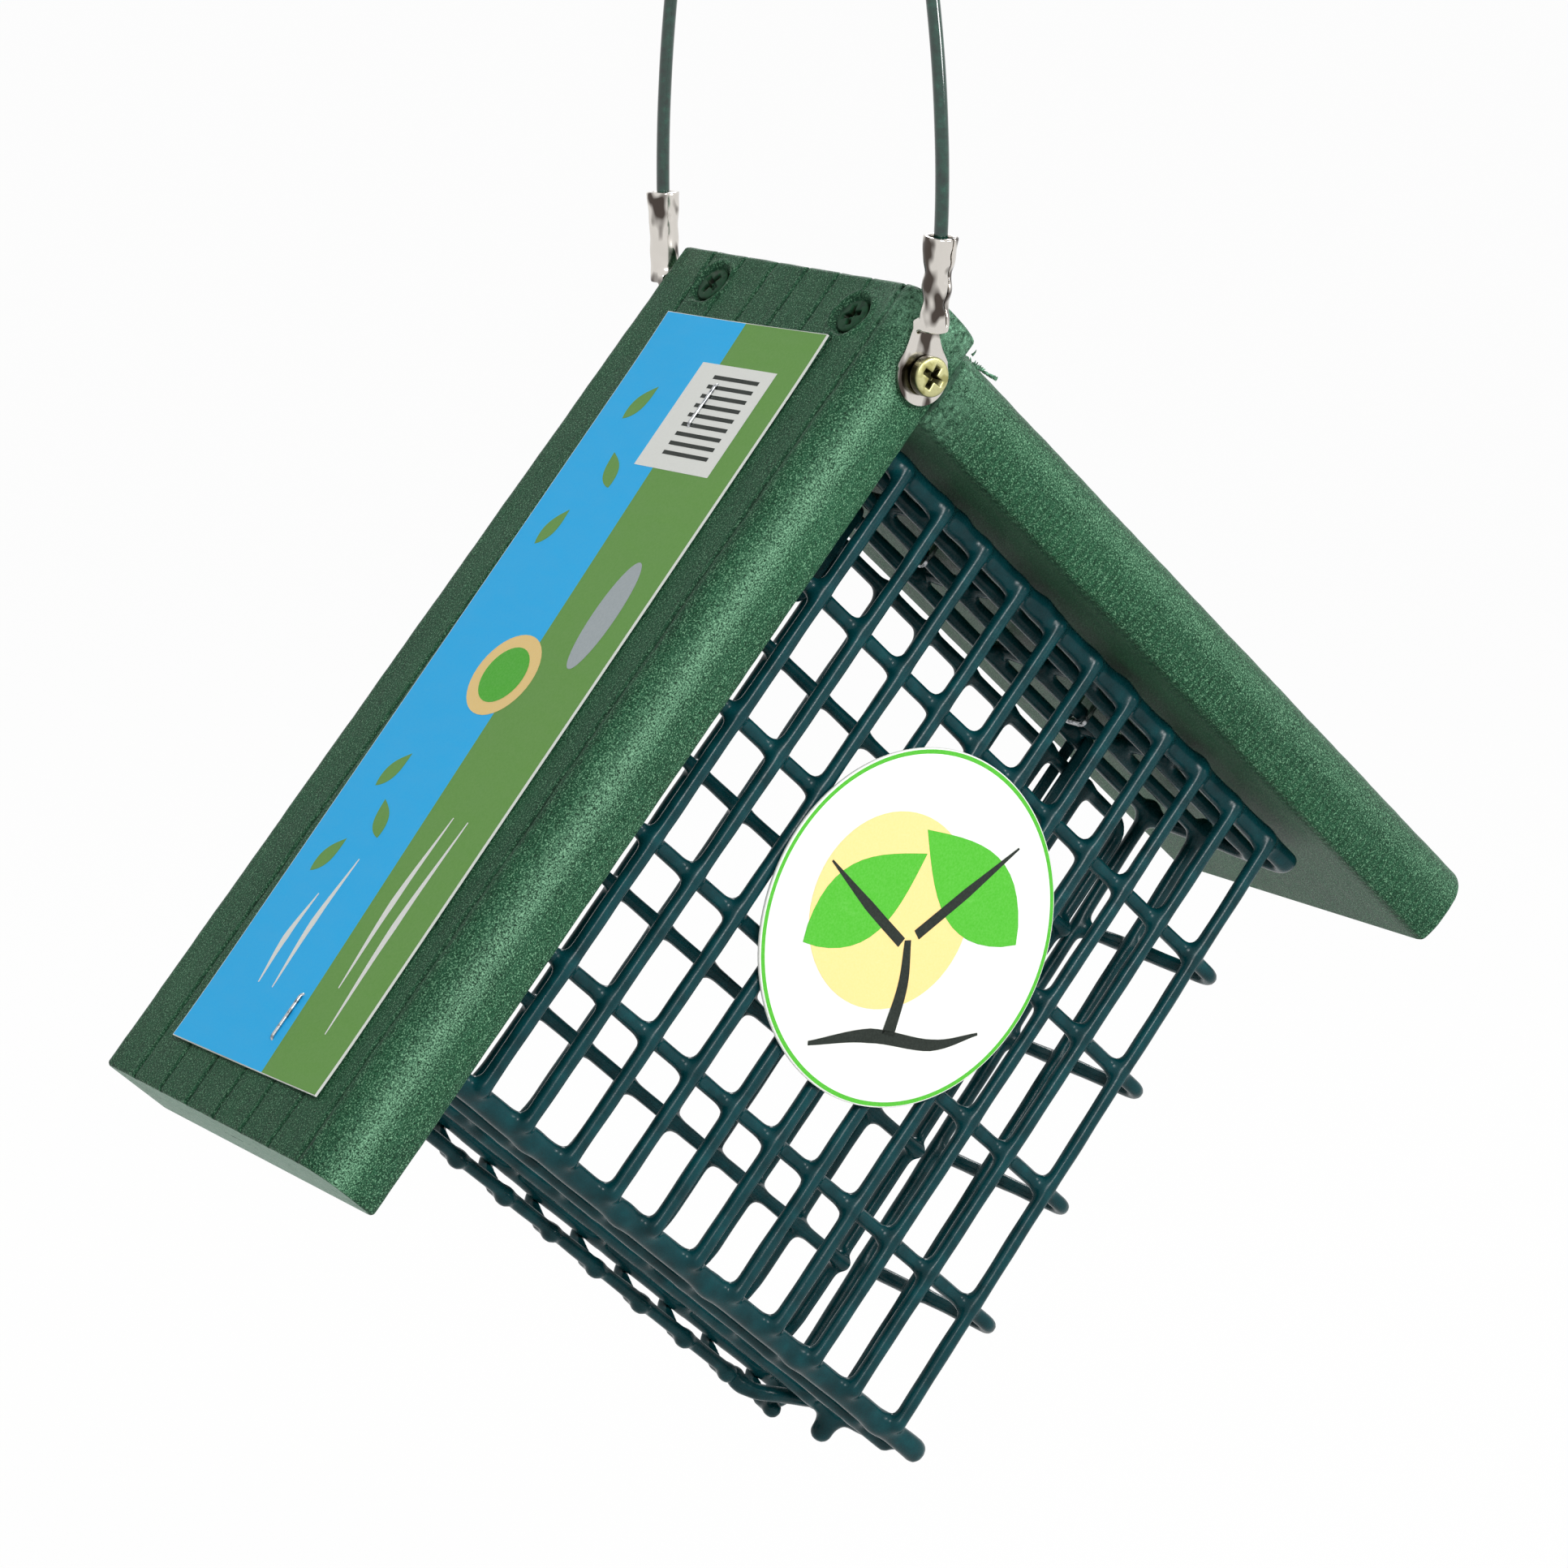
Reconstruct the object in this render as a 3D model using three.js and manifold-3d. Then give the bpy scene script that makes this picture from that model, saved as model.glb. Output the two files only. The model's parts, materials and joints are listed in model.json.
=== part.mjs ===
// Hanging suet feeder: a wire cage with a rear door under a peaked roof of two
// recycled plastic boards, on a cable loop. Millimetres, +Z up, the front faces -Y.
// The origin is where a hook bears: the underside of the cable at the top of its loop.
// The roof, the cage and the door are drawn square to the boards, about the hanger
// screws' axis, and the whole house is then leaned about that axis to how it hangs.

import * as THREE from "three";
import { mergeVertices } from "three/addons/utils/BufferGeometryUtils.js";
import Module from "manifold-3d";

const wasm = await Module();
wasm.setup();

// Overall placing
const loop_height = 118.8;
const house_lean = THREE.MathUtils.degToRad(42.5);

// Clearances
const touch_gap = 0.3;
const bore_gap = 0.3;
const cut_overrun = 2;

// Roof boards
const board_thickness = 15.3;
const board_width = 72.5;
const board_front = 34.8;
const left_board_length = 177.5;
const right_board_length = 161.2;
const ridge_rise = 12;
const pivot_inset = 8.4;
const ridge_step = 1.9;
const board_crown = 1.3;
const board_corner_radius = 6;
const board_rear_ease = 1.5;
const groove_count = 7;
const groove_front_setback = 6.5;
const groove_rear_setback = 10.5;
const groove_depth = 0.4;
const groove_width = 0.9;

// Ridge screws
const ridge_screw_head_diameter = 6.7;
const ridge_screw_head_height = 2;
const ridge_screw_shank_diameter = 3.4;
const ridge_screw_length = 40;
const front_ridge_screw_setback = 14.7;
const front_ridge_screw_rise = 4.2;
const rear_ridge_screw_setback = 57.3;
const rear_ridge_screw_rise = 5.4;

// Hanger screws
const hanger_screw_head_diameter = 6.8;
const hanger_screw_head_height = 2.3;
const hanger_screw_shank_diameter = 3.4;
const hanger_screw_length = 12;
const screw_recess_span = 3.6;
const screw_recess_width = 0.9;
const screw_recess_depth = 1.2;

// Ring terminals
const terminal_ring_diameter = 10.4;
const terminal_plate_thickness = 1;
const terminal_neck_width = 4.6;
const terminal_shoulder_share = 0.94;
const terminal_bend_share = 1 / 3;
const terminal_barrel_start = 7.9;
const terminal_barrel_length = 16;
const terminal_barrel_wall = 1.1;
const terminal_flare = 0.4;
const terminal_flare_length = 6;
const front_terminal_splay = THREE.MathUtils.degToRad(7);
const rear_terminal_splay = THREE.MathUtils.degToRad(2);

// Hanger cable: its route is a list of places (depth, height) from end to end
const cable_diameter = 2.35;
const cable_steps = 46;
const cable_route = [
  [-38.6, -109.6], [-39.45, -102.8], [-40.35, -95.0], [-40.6, -86.8], [-40.3, -78.4],
  [-39.4, -68.2], [-37.7, -57.2], [-35.4, -46.3], [-32.6, -37.2], [-28.5, -26.8],
  [-23.8, -17.6], [-18.5, -9.8], [-12.7, -3.9], [-6.5, -0.1], [0, 1.18],
  [6.5, -0.1], [12.7, -3.9], [18.5, -9.8], [23.8, -17.6], [28.5, -26.8],
  [32.6, -37.2], [35.4, -46.3], [37.8, -57.2], [39.6, -68.2], [40.7, -78.4],
  [41.2, -86.8], [41.3, -95.0], [41.07, -102.8], [40.84, -109.6],
];

// Cage of welded, dip-coated wire
const wire_diameter = 2.7;
const weld_lap = 2.1;
const cage_from_left_board = 9.9;
const cage_from_right_board = 5.4;
const cage_front_setback = 11.3;
const upright_count = 11;
const upright_pitch = 11.41;
const upright_overrun = 1;
const row_count = 6;
const row_pitch = 25.4;
const left_wall_reach = 8.4;
const right_wall_reach = 9.5;
const right_wall_toe = 3.8;
const corner_bend_radius = 3;
const row_end_run = 0.3;
const cage_mid_depth = 22.7;
const cage_rim_depth = 37.3;
const rung_overrun = 0.9;
const wall_wire_rise = 2;
const wall_rim_drop = 4;
const wall_stub_drop = 7.3;
const top_wall_rise = 3.05;
const top_fore_wire_depth = 10.4;
const top_rung_shares = [0.145, 0.364, 0.578, 0.798];
const bottom_edge_drop = 2.75;
const bottom_edge_setback = 1.3;
const bottom_wire_drop = 2.7;
const side_foot_drop = 1.3;
const bottom_fore_wire_depth = 9;
const bottom_rung_shares = [0.137, 0.353, 0.567, 0.784, 1];

// Rear door
const door_wire_count = 10;
const door_wire_pitch = 12.7;
const door_side_inset = -0.8;
const door_top_drop = 4.8;
const door_row_count = 4;
const door_first_row_drop = 28.3;
const door_corner_radius = 3.4;
const door_swell_start = 116;
const door_swell = 3.2;
const door_lip_drop = 134.5;
const door_lip_radius = 5.4;
const door_lip_end_depth = 28;
const door_lip_wire_depth = 29.6;
const door_lip_wire_lap = 0.5;
const hinge_clip_wall = 0.9;
const hinge_clip_width = 3.2;
const hinge_clip_tail = 11;
const hinge_clip_shares = [0.16, 0.815];
const finger_wire_index = 8;
const finger_reach = 18.8;
const finger_rise = 5.6;
const finger_forward = 3.6;
const finger_shares = [
  [0, 0, 0], [0.04, 0, 0], [0.12, -0.08, 0.3], [0.22, -0.1, 0.65], [0.34, 0, 0.92],
  [0.45, 0.18, 1], [0.564, 0.36, 1], [0.706, 0.57, 1], [0.858, 0.78, 1], [1, 1, 1],
];

// Cage staples
const cage_staple_wire = 1.2;
const cage_staple_spread = 2.4;
const cage_staple_bite = 8;
const left_staple_shares = [0.1, 0.9];
const right_staple_shares = [0.25, 0.688];

// Label card and its staples
const label_length = 154;
const label_width = 46.6;
const label_thickness = 0.4;
const label_drop = 90.6;
const label_setback = 36.7;
const label_turn = THREE.MathUtils.degToRad(1.6);
const label_staple_wire = 0.7;
const label_staple_crown = 9.8;
const label_staple_bite = 5;
const upper_label_staple_inset = 17.4;
const upper_label_staple_setback = 35;
const lower_label_staple_inset = 10.5;
const lower_label_staple_setback = 31.7;

// Round tag
const tag_diameter = 64;
const tag_thickness = 0.8;
const tag_across = 53.7;
const tag_drop = 58.1;

// Derived places, from the hanger screws' axis: x across along the right board,
// y in depth, z up along the left board
const wire_radius = wire_diameter / 2;
const front_face = -board_front;
const rear_face = board_width - board_front;
const left_outer = -pivot_inset;
const left_inner = board_thickness - pivot_inset;
const left_top = ridge_rise;
const right_outer = ridge_rise - ridge_step;
const right_inner = right_outer - board_thickness;
const right_start = left_inner + touch_gap;
const cage_x = left_inner + cage_from_left_board;
const cage_z = right_inner - cage_from_right_board;
const cage_y = front_face + cage_front_setback;
const cross_y = cage_y + weld_lap;
const top_fore_y = cage_y + top_fore_wire_depth;
const bottom_fore_y = cage_y + bottom_fore_wire_depth;
const mid_y = cage_y + cage_mid_depth;
const rim_y = cage_y + cage_rim_depth;
const cage_width = (upright_count - 1) * upright_pitch;
const cage_height = (row_count - 1) * row_pitch;
const left_rung_x = cage_x - left_wall_reach;
const right_rung_x = cage_x + cage_width + right_wall_reach;
const left_wire_x = left_rung_x + weld_lap;
const right_wire_x = right_rung_x - weld_lap;
const top_rung_z = cage_z + top_wall_rise;
const top_wire_z = top_rung_z - weld_lap;
const bottom_wire_z = cage_z - cage_height - bottom_wire_drop;
const bottom_rung_z = bottom_wire_z + weld_lap;
const bottom_edge_z = cage_z - cage_height - bottom_edge_drop;
const side_foot_z = cage_z - cage_height - side_foot_drop;
const rung_start_y = cross_y + corner_bend_radius + row_end_run + touch_gap;
const left_staple_drops = left_staple_shares.map((share) => share * cage_height);
const right_staple_places = right_staple_shares.map((share) => share * cage_width);
const ridge_screw_places = [
  { name: "front", y: front_face + front_ridge_screw_setback, z: front_ridge_screw_rise },
  { name: "rear", y: front_face + rear_ridge_screw_setback, z: rear_ridge_screw_rise },
];
const label_z = left_top - label_drop;
const label_staple_places = [
  {
    name: "upper",
    y: front_face + upper_label_staple_setback,
    z: label_z + label_length / 2 - upper_label_staple_inset,
  },
  {
    name: "lower",
    y: front_face + lower_label_staple_setback,
    z: label_z - label_length / 2 + lower_label_staple_inset,
  },
];

// Materials
const finish = (color, roughness, metalness) =>
  new THREE.MeshStandardMaterial({ color, roughness, metalness });
const board_finish = finish(0x27402f, 0.62, 0);
const cage_finish = finish(0x12392f, 0.28, 0);
const screw_finish = finish(0x1f3326, 0.45, 0.3);
const zinc_finish = finish(0xb9a968, 0.32, 1);
const terminal_finish = finish(0xb5a899, 0.3, 1);
const cable_finish = finish(0x1c5743, 0.3, 0);
const label_finish = finish(0x3d9fd6, 0.5, 0);
const tag_finish = finish(0xf3f4f0, 0.5, 0);
const steel_finish = finish(0xb4b6b8, 0.35, 1);

// Solids: closed meshes that can be joined and cut
const merge_tolerance = 1e-4;
const solidOf = (geometry) => {
  const bare = geometry.clone();
  bare.deleteAttribute("normal");
  bare.deleteAttribute("uv");
  const merged = mergeVertices(bare, merge_tolerance);
  return new wasm.Manifold(new wasm.Mesh({
    numProp: 3,
    vertProperties: new Float32Array(merged.attributes.position.array),
    triVerts: new Uint32Array(merged.index.array),
  }));
};

const geometryOf = (solid) => {
  const mesh = solid.getMesh();
  const geometry = new THREE.BufferGeometry();
  geometry.setAttribute("position", new THREE.BufferAttribute(mesh.vertProperties, 3));
  geometry.setIndex(new THREE.BufferAttribute(mesh.triVerts, 1));
  const faceted = geometry.toNonIndexed();
  faceted.computeVertexNormals();
  return faceted;
};

const joined = (geometries) => geometries.map(solidOf).reduce((whole, solid) => whole.add(solid));
const cutBy = (solid, geometries) => (
  geometries.map(solidOf).reduce((rest, tool) => rest.subtract(tool), solid)
);

const named = (name, geometry, material) => {
  const mesh = new THREE.Mesh(geometry, material);
  mesh.name = name;
  return mesh;
};

// A path with one place at each listed point, so that bends fall where they are drawn
class WirePath extends THREE.Curve {
  constructor(points) {
    super();
    this.points = points;
  }

  getPoint(t, target = new THREE.Vector3()) {
    const last = this.points.length - 1;
    const place = Math.min(Math.max(t, 0), 1) * last;
    const index = Math.min(Math.floor(place), last - 1);
    return target.lerpVectors(this.points[index], this.points[index + 1], place - index);
  }

  getPointAt(u, target) {
    return this.getPoint(u, target);
  }

  getTangentAt(u, target = new THREE.Vector3()) {
    const last = this.points.length - 1;
    const index = Math.round(u * last);
    const before = this.points[Math.max(index - 1, 0)];
    const after = this.points[Math.min(index + 1, last)];
    return target.subVectors(after, before).normalize();
  }
}

const sectionOf = (diameter, sides) => {
  const section = new THREE.Shape();
  for (let side = 0; side < sides; side += 1) {
    const angle = ((side + 1 / 2) / sides) * 2 * Math.PI;
    const across = (diameter / 2) * Math.cos(angle);
    const up = (diameter / 2) * Math.sin(angle);
    if (side === 0) section.moveTo(across, up);
    else section.lineTo(across, up);
  }
  section.closePath();
  return section;
};

const wire_sides = 8;
const wire = (points, diameter = wire_diameter) => {
  const places = points.map((point) => new THREE.Vector3(...point));
  return new THREE.ExtrudeGeometry(sectionOf(diameter, wire_sides), {
    steps: places.length - 1,
    extrudePath: new WirePath(places),
  });
};

// Places along an arc in a plane: centre and two half axes, turned from one to the other
const bend_steps = 4;
const arcPlaces = (centre, from, to, steps = bend_steps) => {
  const places = [];
  for (let step = 0; step <= steps; step += 1) {
    const angle = (step / steps) * (Math.PI / 2);
    places.push(centre.map((value, axis) => (
      value + from[axis] * Math.cos(angle) + to[axis] * Math.sin(angle)
    )));
  }
  return places;
};

const box = (low, high) => {
  const size = high.map((value, axis) => value - low[axis]);
  const geometry = new THREE.BoxGeometry(...size);
  geometry.translate(...low.map((value, axis) => value + size[axis] / 2));
  return geometry;
};

// A round rod between two places
const rod_sides = 20;
const rod = (from, to, diameter, sides = rod_sides) => {
  const start = new THREE.Vector3(...from);
  const run = new THREE.Vector3(...to).sub(start);
  const geometry = new THREE.CylinderGeometry(diameter / 2, diameter / 2, run.length(), sides);
  geometry.translate(0, run.length() / 2, 0);
  const upright = new THREE.Vector3(0, 1, 0);
  const turn = new THREE.Quaternion().setFromUnitVectors(upright, run.clone().normalize());
  geometry.applyQuaternion(turn);
  geometry.translate(...start.toArray());
  return geometry;
};

// Board stock: depth against thickness, crowned front edge, grooved outer face.
// Drawn with the outer face to -x, and later turned for the right board
const corner_steps = 5;
const boardSection = () => {
  const outer = 0;
  const inner = board_thickness;
  const shape = new THREE.Shape();
  shape.moveTo(inner, rear_face);
  shape.lineTo(inner, front_face + board_crown);
  const crown_mid = (inner + board_corner_radius) / 2;
  shape.lineTo((inner + crown_mid) / 2, front_face + board_crown / 4);
  shape.lineTo(crown_mid, front_face);
  for (let step = 0; step <= corner_steps; step += 1) {
    const angle = (step / corner_steps) * (Math.PI / 2);
    shape.lineTo(
      outer + board_corner_radius * (1 - Math.sin(angle)),
      front_face + board_corner_radius * (1 - Math.cos(angle)),
    );
  }
  const groove_start = front_face + groove_front_setback;
  const groove_pitch = (rear_face - groove_rear_setback - groove_start) / (groove_count - 1);
  for (let groove = 0; groove < groove_count; groove += 1) {
    const middle = groove_start + groove * groove_pitch;
    shape.lineTo(outer, middle - groove_width / 2);
    shape.lineTo(outer + groove_depth, middle);
    shape.lineTo(outer, middle + groove_width / 2);
  }
  shape.lineTo(outer, rear_face - board_rear_ease);
  shape.lineTo(outer + board_rear_ease, rear_face);
  shape.closePath();
  return shape;
};

// A board sawn square, running up or down from z = 0, outer face at x = 0
const boardSolid = (length, run) => {
  const stock = new THREE.ExtrudeGeometry(boardSection(), { depth: length, bevelEnabled: false });
  stock.translate(0, 0, run < 0 ? -length : 0);
  return solidOf(stock);
};

const stapleHole = (middle, wireSize) => {
  const half = wireSize / 2 + bore_gap;
  return { low: middle - half, high: middle + half };
};

// Label staples: crowns along z on the card, legs along x into the left board
const label_outer_x = left_outer - touch_gap - label_thickness;
const labelStapleHoles = () => label_staple_places.flatMap((place) => {
  const y = stapleHole(place.y, label_staple_wire);
  const leg_reach = (label_staple_crown - label_staple_wire) / 2;
  return [-1, 1].map((side) => {
    const z = stapleHole(place.z + side * leg_reach, label_staple_wire);
    return box(
      [label_outer_x - cut_overrun, y.low, z.low],
      [left_outer + label_staple_bite + bore_gap, y.high, z.high],
    );
  });
});

const leftBoard = () => {
  const whole = boardSolid(left_board_length, -1).translate([left_outer, 0, left_top]);
  const head_bore = ridge_screw_head_diameter + 2 * bore_gap;
  const shank_bore = ridge_screw_shank_diameter + 2 * bore_gap;
  const head_seat = left_outer + ridge_screw_head_height + bore_gap;
  const screws = ridge_screw_places.flatMap(({ y, z }) => [
    rod([left_outer - cut_overrun, y, z], [head_seat, y, z], head_bore),
    rod([left_outer, y, z], [left_inner + cut_overrun, y, z], shank_bore),
  ]);
  const hanger_bore = hanger_screw_shank_diameter + 2 * bore_gap;
  const hangers = [
    rod([0, front_face - cut_overrun, 0], [0, front_face + hanger_screw_length + bore_gap, 0], hanger_bore),
    rod([0, rear_face + cut_overrun, 0], [0, rear_face - hanger_screw_length - bore_gap, 0], hanger_bore),
  ];
  const staples = left_staple_drops.flatMap((drop) => [-1, 1].map((side) => {
    const y = stapleHole(mid_y + side * cage_staple_spread, cage_staple_wire);
    const z = stapleHole(cage_z - drop, cage_staple_wire);
    return box(
      [left_inner - cage_staple_bite - bore_gap, y.low, z.low],
      [left_inner + cut_overrun, y.high, z.high],
    );
  }));
  return geometryOf(cutBy(whole, [...screws, ...hangers, ...staples, ...labelStapleHoles()]));
};

const rightBoard = () => {
  // The outer face turns up and the length turns to +x
  const quarter_turn = new THREE.Matrix4().makeRotationY(Math.PI / 2).elements;
  const turned = boardSolid(right_board_length, 1).transform(quarter_turn)
    .translate([right_start, 0, right_outer]);
  const reach = ridge_screw_length - board_thickness;
  const screws = ridge_screw_places.map(({ y, z }) => rod(
    [right_start - cut_overrun, y, z],
    [right_start + reach, y, z],
    ridge_screw_shank_diameter + 2 * bore_gap,
  ));
  const staples = right_staple_places.flatMap((across) => [-1, 1].map((side) => {
    const x = stapleHole(cage_x + across, cage_staple_wire);
    const y = stapleHole(mid_y + side * cage_staple_spread, cage_staple_wire);
    return box(
      [x.low, y.low, right_inner - cut_overrun],
      [x.high, y.high, right_inner + cage_staple_bite + bore_gap],
    );
  }));
  return geometryOf(cutBy(turned, [...screws, ...staples]));
};

// A screw along +z from its head's top at z = 0, with a cross recess
const screwGeometry = (headDiameter, headHeight, shankDiameter, length) => {
  const head = rod([0, 0, 0], [0, 0, headHeight], headDiameter);
  const shank = rod([0, 0, headHeight / 2], [0, 0, length], shankDiameter, wire_sides);
  const half_span = screw_recess_span / 2;
  const half_width = screw_recess_width / 2;
  const recess = [
    box([-half_span, -half_width, -cut_overrun], [half_span, half_width, screw_recess_depth]),
    box([-half_width, -half_span, -cut_overrun], [half_width, half_span, screw_recess_depth]),
  ];
  return geometryOf(cutBy(joined([head, shank]), recess));
};

const ridgeScrew = (place) => {
  const length = ridge_screw_length - touch_gap;
  const geometry = screwGeometry(
    ridge_screw_head_diameter, ridge_screw_head_height, ridge_screw_shank_diameter, length,
  );
  const screw = named(`ridge_screw_${place.name}`, geometry, screw_finish);
  screw.rotation.y = Math.PI / 2;
  screw.position.set(left_outer, place.y, place.z);
  return screw;
};

const terminal_stack = 2 * touch_gap + terminal_plate_thickness;
const hangerScrew = (name, side, face) => {
  const head_top = hanger_screw_head_height + terminal_stack;
  const geometry = screwGeometry(
    hanger_screw_head_diameter, hanger_screw_head_height, hanger_screw_shank_diameter,
    head_top + hanger_screw_length,
  );
  const screw = named(name, geometry, zinc_finish);
  screw.rotation.x = side * Math.PI / 2;
  screw.position.set(0, face + side * head_top, 0);
  return screw;
};

// Ring terminal, drawn with the plate's middle in the plane y = 0, the outer side to -y
const ring_sides = 28;
const barrel_sides = 16;
const terminalGeometry = (splay) => {
  const ring_radius = terminal_ring_diameter / 2;
  const hole_radius = hanger_screw_shank_diameter / 2 + bore_gap;
  const bore_radius = cable_diameter / 2 + bore_gap;
  const barrel_radius = bore_radius + terminal_barrel_wall;
  const half_plate = terminal_plate_thickness / 2;
  const bend_line = ring_radius * terminal_bend_share;
  const shoulder = ring_radius * terminal_shoulder_share;
  const ring = rod([0, half_plate, 0], [0, -half_plate, 0], terminal_ring_diameter, ring_sides);
  const tongue = new THREE.Shape();
  tongue.moveTo(-shoulder, bend_line);
  tongue.lineTo(-terminal_neck_width / 2, terminal_barrel_start + half_plate);
  tongue.lineTo(terminal_neck_width / 2, terminal_barrel_start + half_plate);
  tongue.lineTo(shoulder, bend_line);
  tongue.closePath();
  const tongue_plate = new THREE.ExtrudeGeometry(tongue, {
    depth: terminal_plate_thickness,
    bevelEnabled: false,
  });
  tongue_plate.translate(0, 0, -half_plate);
  tongue_plate.rotateX(Math.PI / 2);
  const barrel_end = terminal_barrel_start + terminal_barrel_length;
  const flare_start = barrel_end - terminal_flare_length;
  const barrel = new THREE.LatheGeometry([
    new THREE.Vector2(bore_radius, terminal_barrel_start),
    new THREE.Vector2(barrel_radius, terminal_barrel_start),
    new THREE.Vector2(barrel_radius, flare_start),
    new THREE.Vector2(barrel_radius + terminal_flare, barrel_end),
    new THREE.Vector2(bore_radius + terminal_flare, barrel_end),
    new THREE.Vector2(bore_radius, flare_start),
    new THREE.Vector2(bore_radius, terminal_barrel_start),
  ], barrel_sides);
  barrel.rotateX(Math.PI / 2);
  barrel.translate(0, -(barrel_radius - half_plate), 0);
  // The tongue and the barrel lean out about a line across the ring
  for (const piece of [tongue_plate, barrel]) {
    piece.translate(0, half_plate, -bend_line);
    piece.rotateX(splay);
    piece.translate(0, -half_plate, bend_line);
  }
  const hole = rod([0, cut_overrun, 0], [0, -cut_overrun, 0], 2 * hole_radius);
  return geometryOf(cutBy(joined([ring, tongue_plate, barrel]), [hole]));
};

const terminal = (name, side, face, splay) => {
  const mesh = named(name, terminalGeometry(splay), terminal_finish);
  mesh.rotation.z = side > 0 ? Math.PI : 0;
  mesh.position.y = face + side * (touch_gap + terminal_plate_thickness / 2);
  return mesh;
};

const cableGeometry = () => {
  const places = cable_route.map(([depth, height]) => new THREE.Vector3(0, depth, height));
  return new THREE.ExtrudeGeometry(sectionOf(cable_diameter, wire_sides), {
    steps: cable_steps,
    extrudePath: new THREE.CatmullRomCurve3(places, false, "centripetal"),
  });
};

// Cage panels. Uprights stand in front, and each row wire lies behind them and bends
// back at both ends into the first of a side wall's rungs
const row_bend_steps = 3;
const frontGrille = () => {
  const top = cage_z + upright_overrun;
  const bottom = cage_z - cage_height - upright_overrun;
  const bend = corner_bend_radius;
  const bent_y = cross_y + bend;
  const wires = [];
  for (let index = 0; index < upright_count; index += 1) {
    const x = cage_x + index * upright_pitch;
    wires.push(wire([[x, cage_y, bottom], [x, cage_y, top]]));
  }
  for (let index = 0; index < row_count; index += 1) {
    const z = cage_z - index * row_pitch;
    wires.push(wire([
      [left_rung_x, bent_y + row_end_run, z],
      ...arcPlaces([left_rung_x + bend, bent_y, z], [-bend, 0, 0], [0, -bend, 0], row_bend_steps),
      ...arcPlaces([right_rung_x - bend, bent_y, z], [0, -bend, 0], [bend, 0, 0], row_bend_steps),
      [right_rung_x, bent_y + row_end_run, z],
    ]));
  }
  return geometryOf(joined(wires));
};

// How far a wall that toes in has come at a place, most at the rim's top and none at the bottom
const toeAt = (toe, y, z) => {
  const back_share = (y - rung_start_y) / (rim_y - rung_start_y);
  const up_share = (z - (cage_z - cage_height)) / cage_height;
  return toe * back_share * Math.max(up_share, 0);
};

const sideWall = (rung_x, wire_x, toe) => {
  const wires = [];
  const rung_end_y = rim_y + rung_overrun;
  for (let index = 0; index < row_count; index += 1) {
    const z = index === row_count - 1 ? side_foot_z : cage_z - index * row_pitch;
    wires.push(wire([
      [rung_x, rung_start_y, z],
      [rung_x - toeAt(toe, rung_end_y, z), rung_end_y, z],
    ]));
  }
  const top = cage_z + wall_wire_rise;
  const bottom = cage_z - cage_height;
  for (const [y, low] of [[mid_y, bottom - wall_stub_drop], [rim_y, bottom - wall_rim_drop]]) {
    wires.push(wire([[wire_x, y, low], [wire_x, y, bottom], [wire_x - toeAt(toe, y, top), y, top]]));
  }
  return geometryOf(joined(wires));
};

// The top and bottom walls fit between the side walls' long wires
const between_left = left_wire_x + wire_radius + touch_gap;
const between_right = right_wire_x - wire_radius - touch_gap;
const levelWall = (shares, rung_z, wire_z, wire_ys, edge_y, edge_z, start_y) => {
  const wires = shares.map((share) => wire([
    [cage_x + share * cage_width, start_y, rung_z],
    [cage_x + share * cage_width, rim_y + rung_overrun, rung_z],
  ]));
  wires.push(wire([[left_rung_x, edge_y, edge_z], [right_rung_x, edge_y, edge_z]]));
  for (const y of wire_ys) {
    const end_x = between_right - toeAt(right_wall_toe, y, wire_z);
    wires.push(wire([[between_left, y, wire_z], [end_x, y, wire_z]]));
  }
  return geometryOf(joined(wires));
};

const topWall = () => levelWall(
  top_rung_shares, top_rung_z, top_wire_z, [top_fore_y, mid_y, rim_y], cross_y, top_rung_z, cross_y,
);
const bottomWall = () => levelWall(
  bottom_rung_shares, bottom_rung_z, bottom_wire_z, [bottom_fore_y, mid_y, rim_y],
  cross_y + bottom_edge_setback, bottom_edge_z, cross_y + wire_radius + touch_gap,
);

// Door: one frame wire goes up, across and down, and every upright ends in the lip, which
// swells out past the rim's bottom wire and comes forward under it to the lip's wire
const door_top_z = cage_z - door_top_drop;
const door_left_x = cage_x + door_side_inset;
const door_right_x = door_left_x + (door_wire_count - 1) * door_wire_pitch;
const lip_z = cage_z - door_lip_drop;
const lip_end_y = cage_y + door_lip_end_depth;
const lip_wire_y = cage_y + door_lip_wire_depth;
const lip_wire_z = lip_z + door_lip_wire_lap;
const lip_wire_end_x = door_left_x + finger_wire_index * door_wire_pitch + wire_radius;
const lipPlaces = (x) => {
  const start_z = cage_z - door_swell_start;
  const swell_y = rim_y + door_swell;
  const turn_z = lip_z + door_lip_radius;
  const swell = [0, 1 / 3, 2 / 3].map((share) => [
    x,
    rim_y + door_swell * (1 - Math.cos(share * Math.PI)) / 2,
    start_z + (turn_z - start_z) * share,
  ]);
  const turn = arcPlaces(
    [x, swell_y - door_lip_radius, turn_z],
    [0, door_lip_radius, 0],
    [0, 0, -door_lip_radius],
  );
  return [...swell, ...turn, [x, lip_end_y, lip_z]];
};

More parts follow.
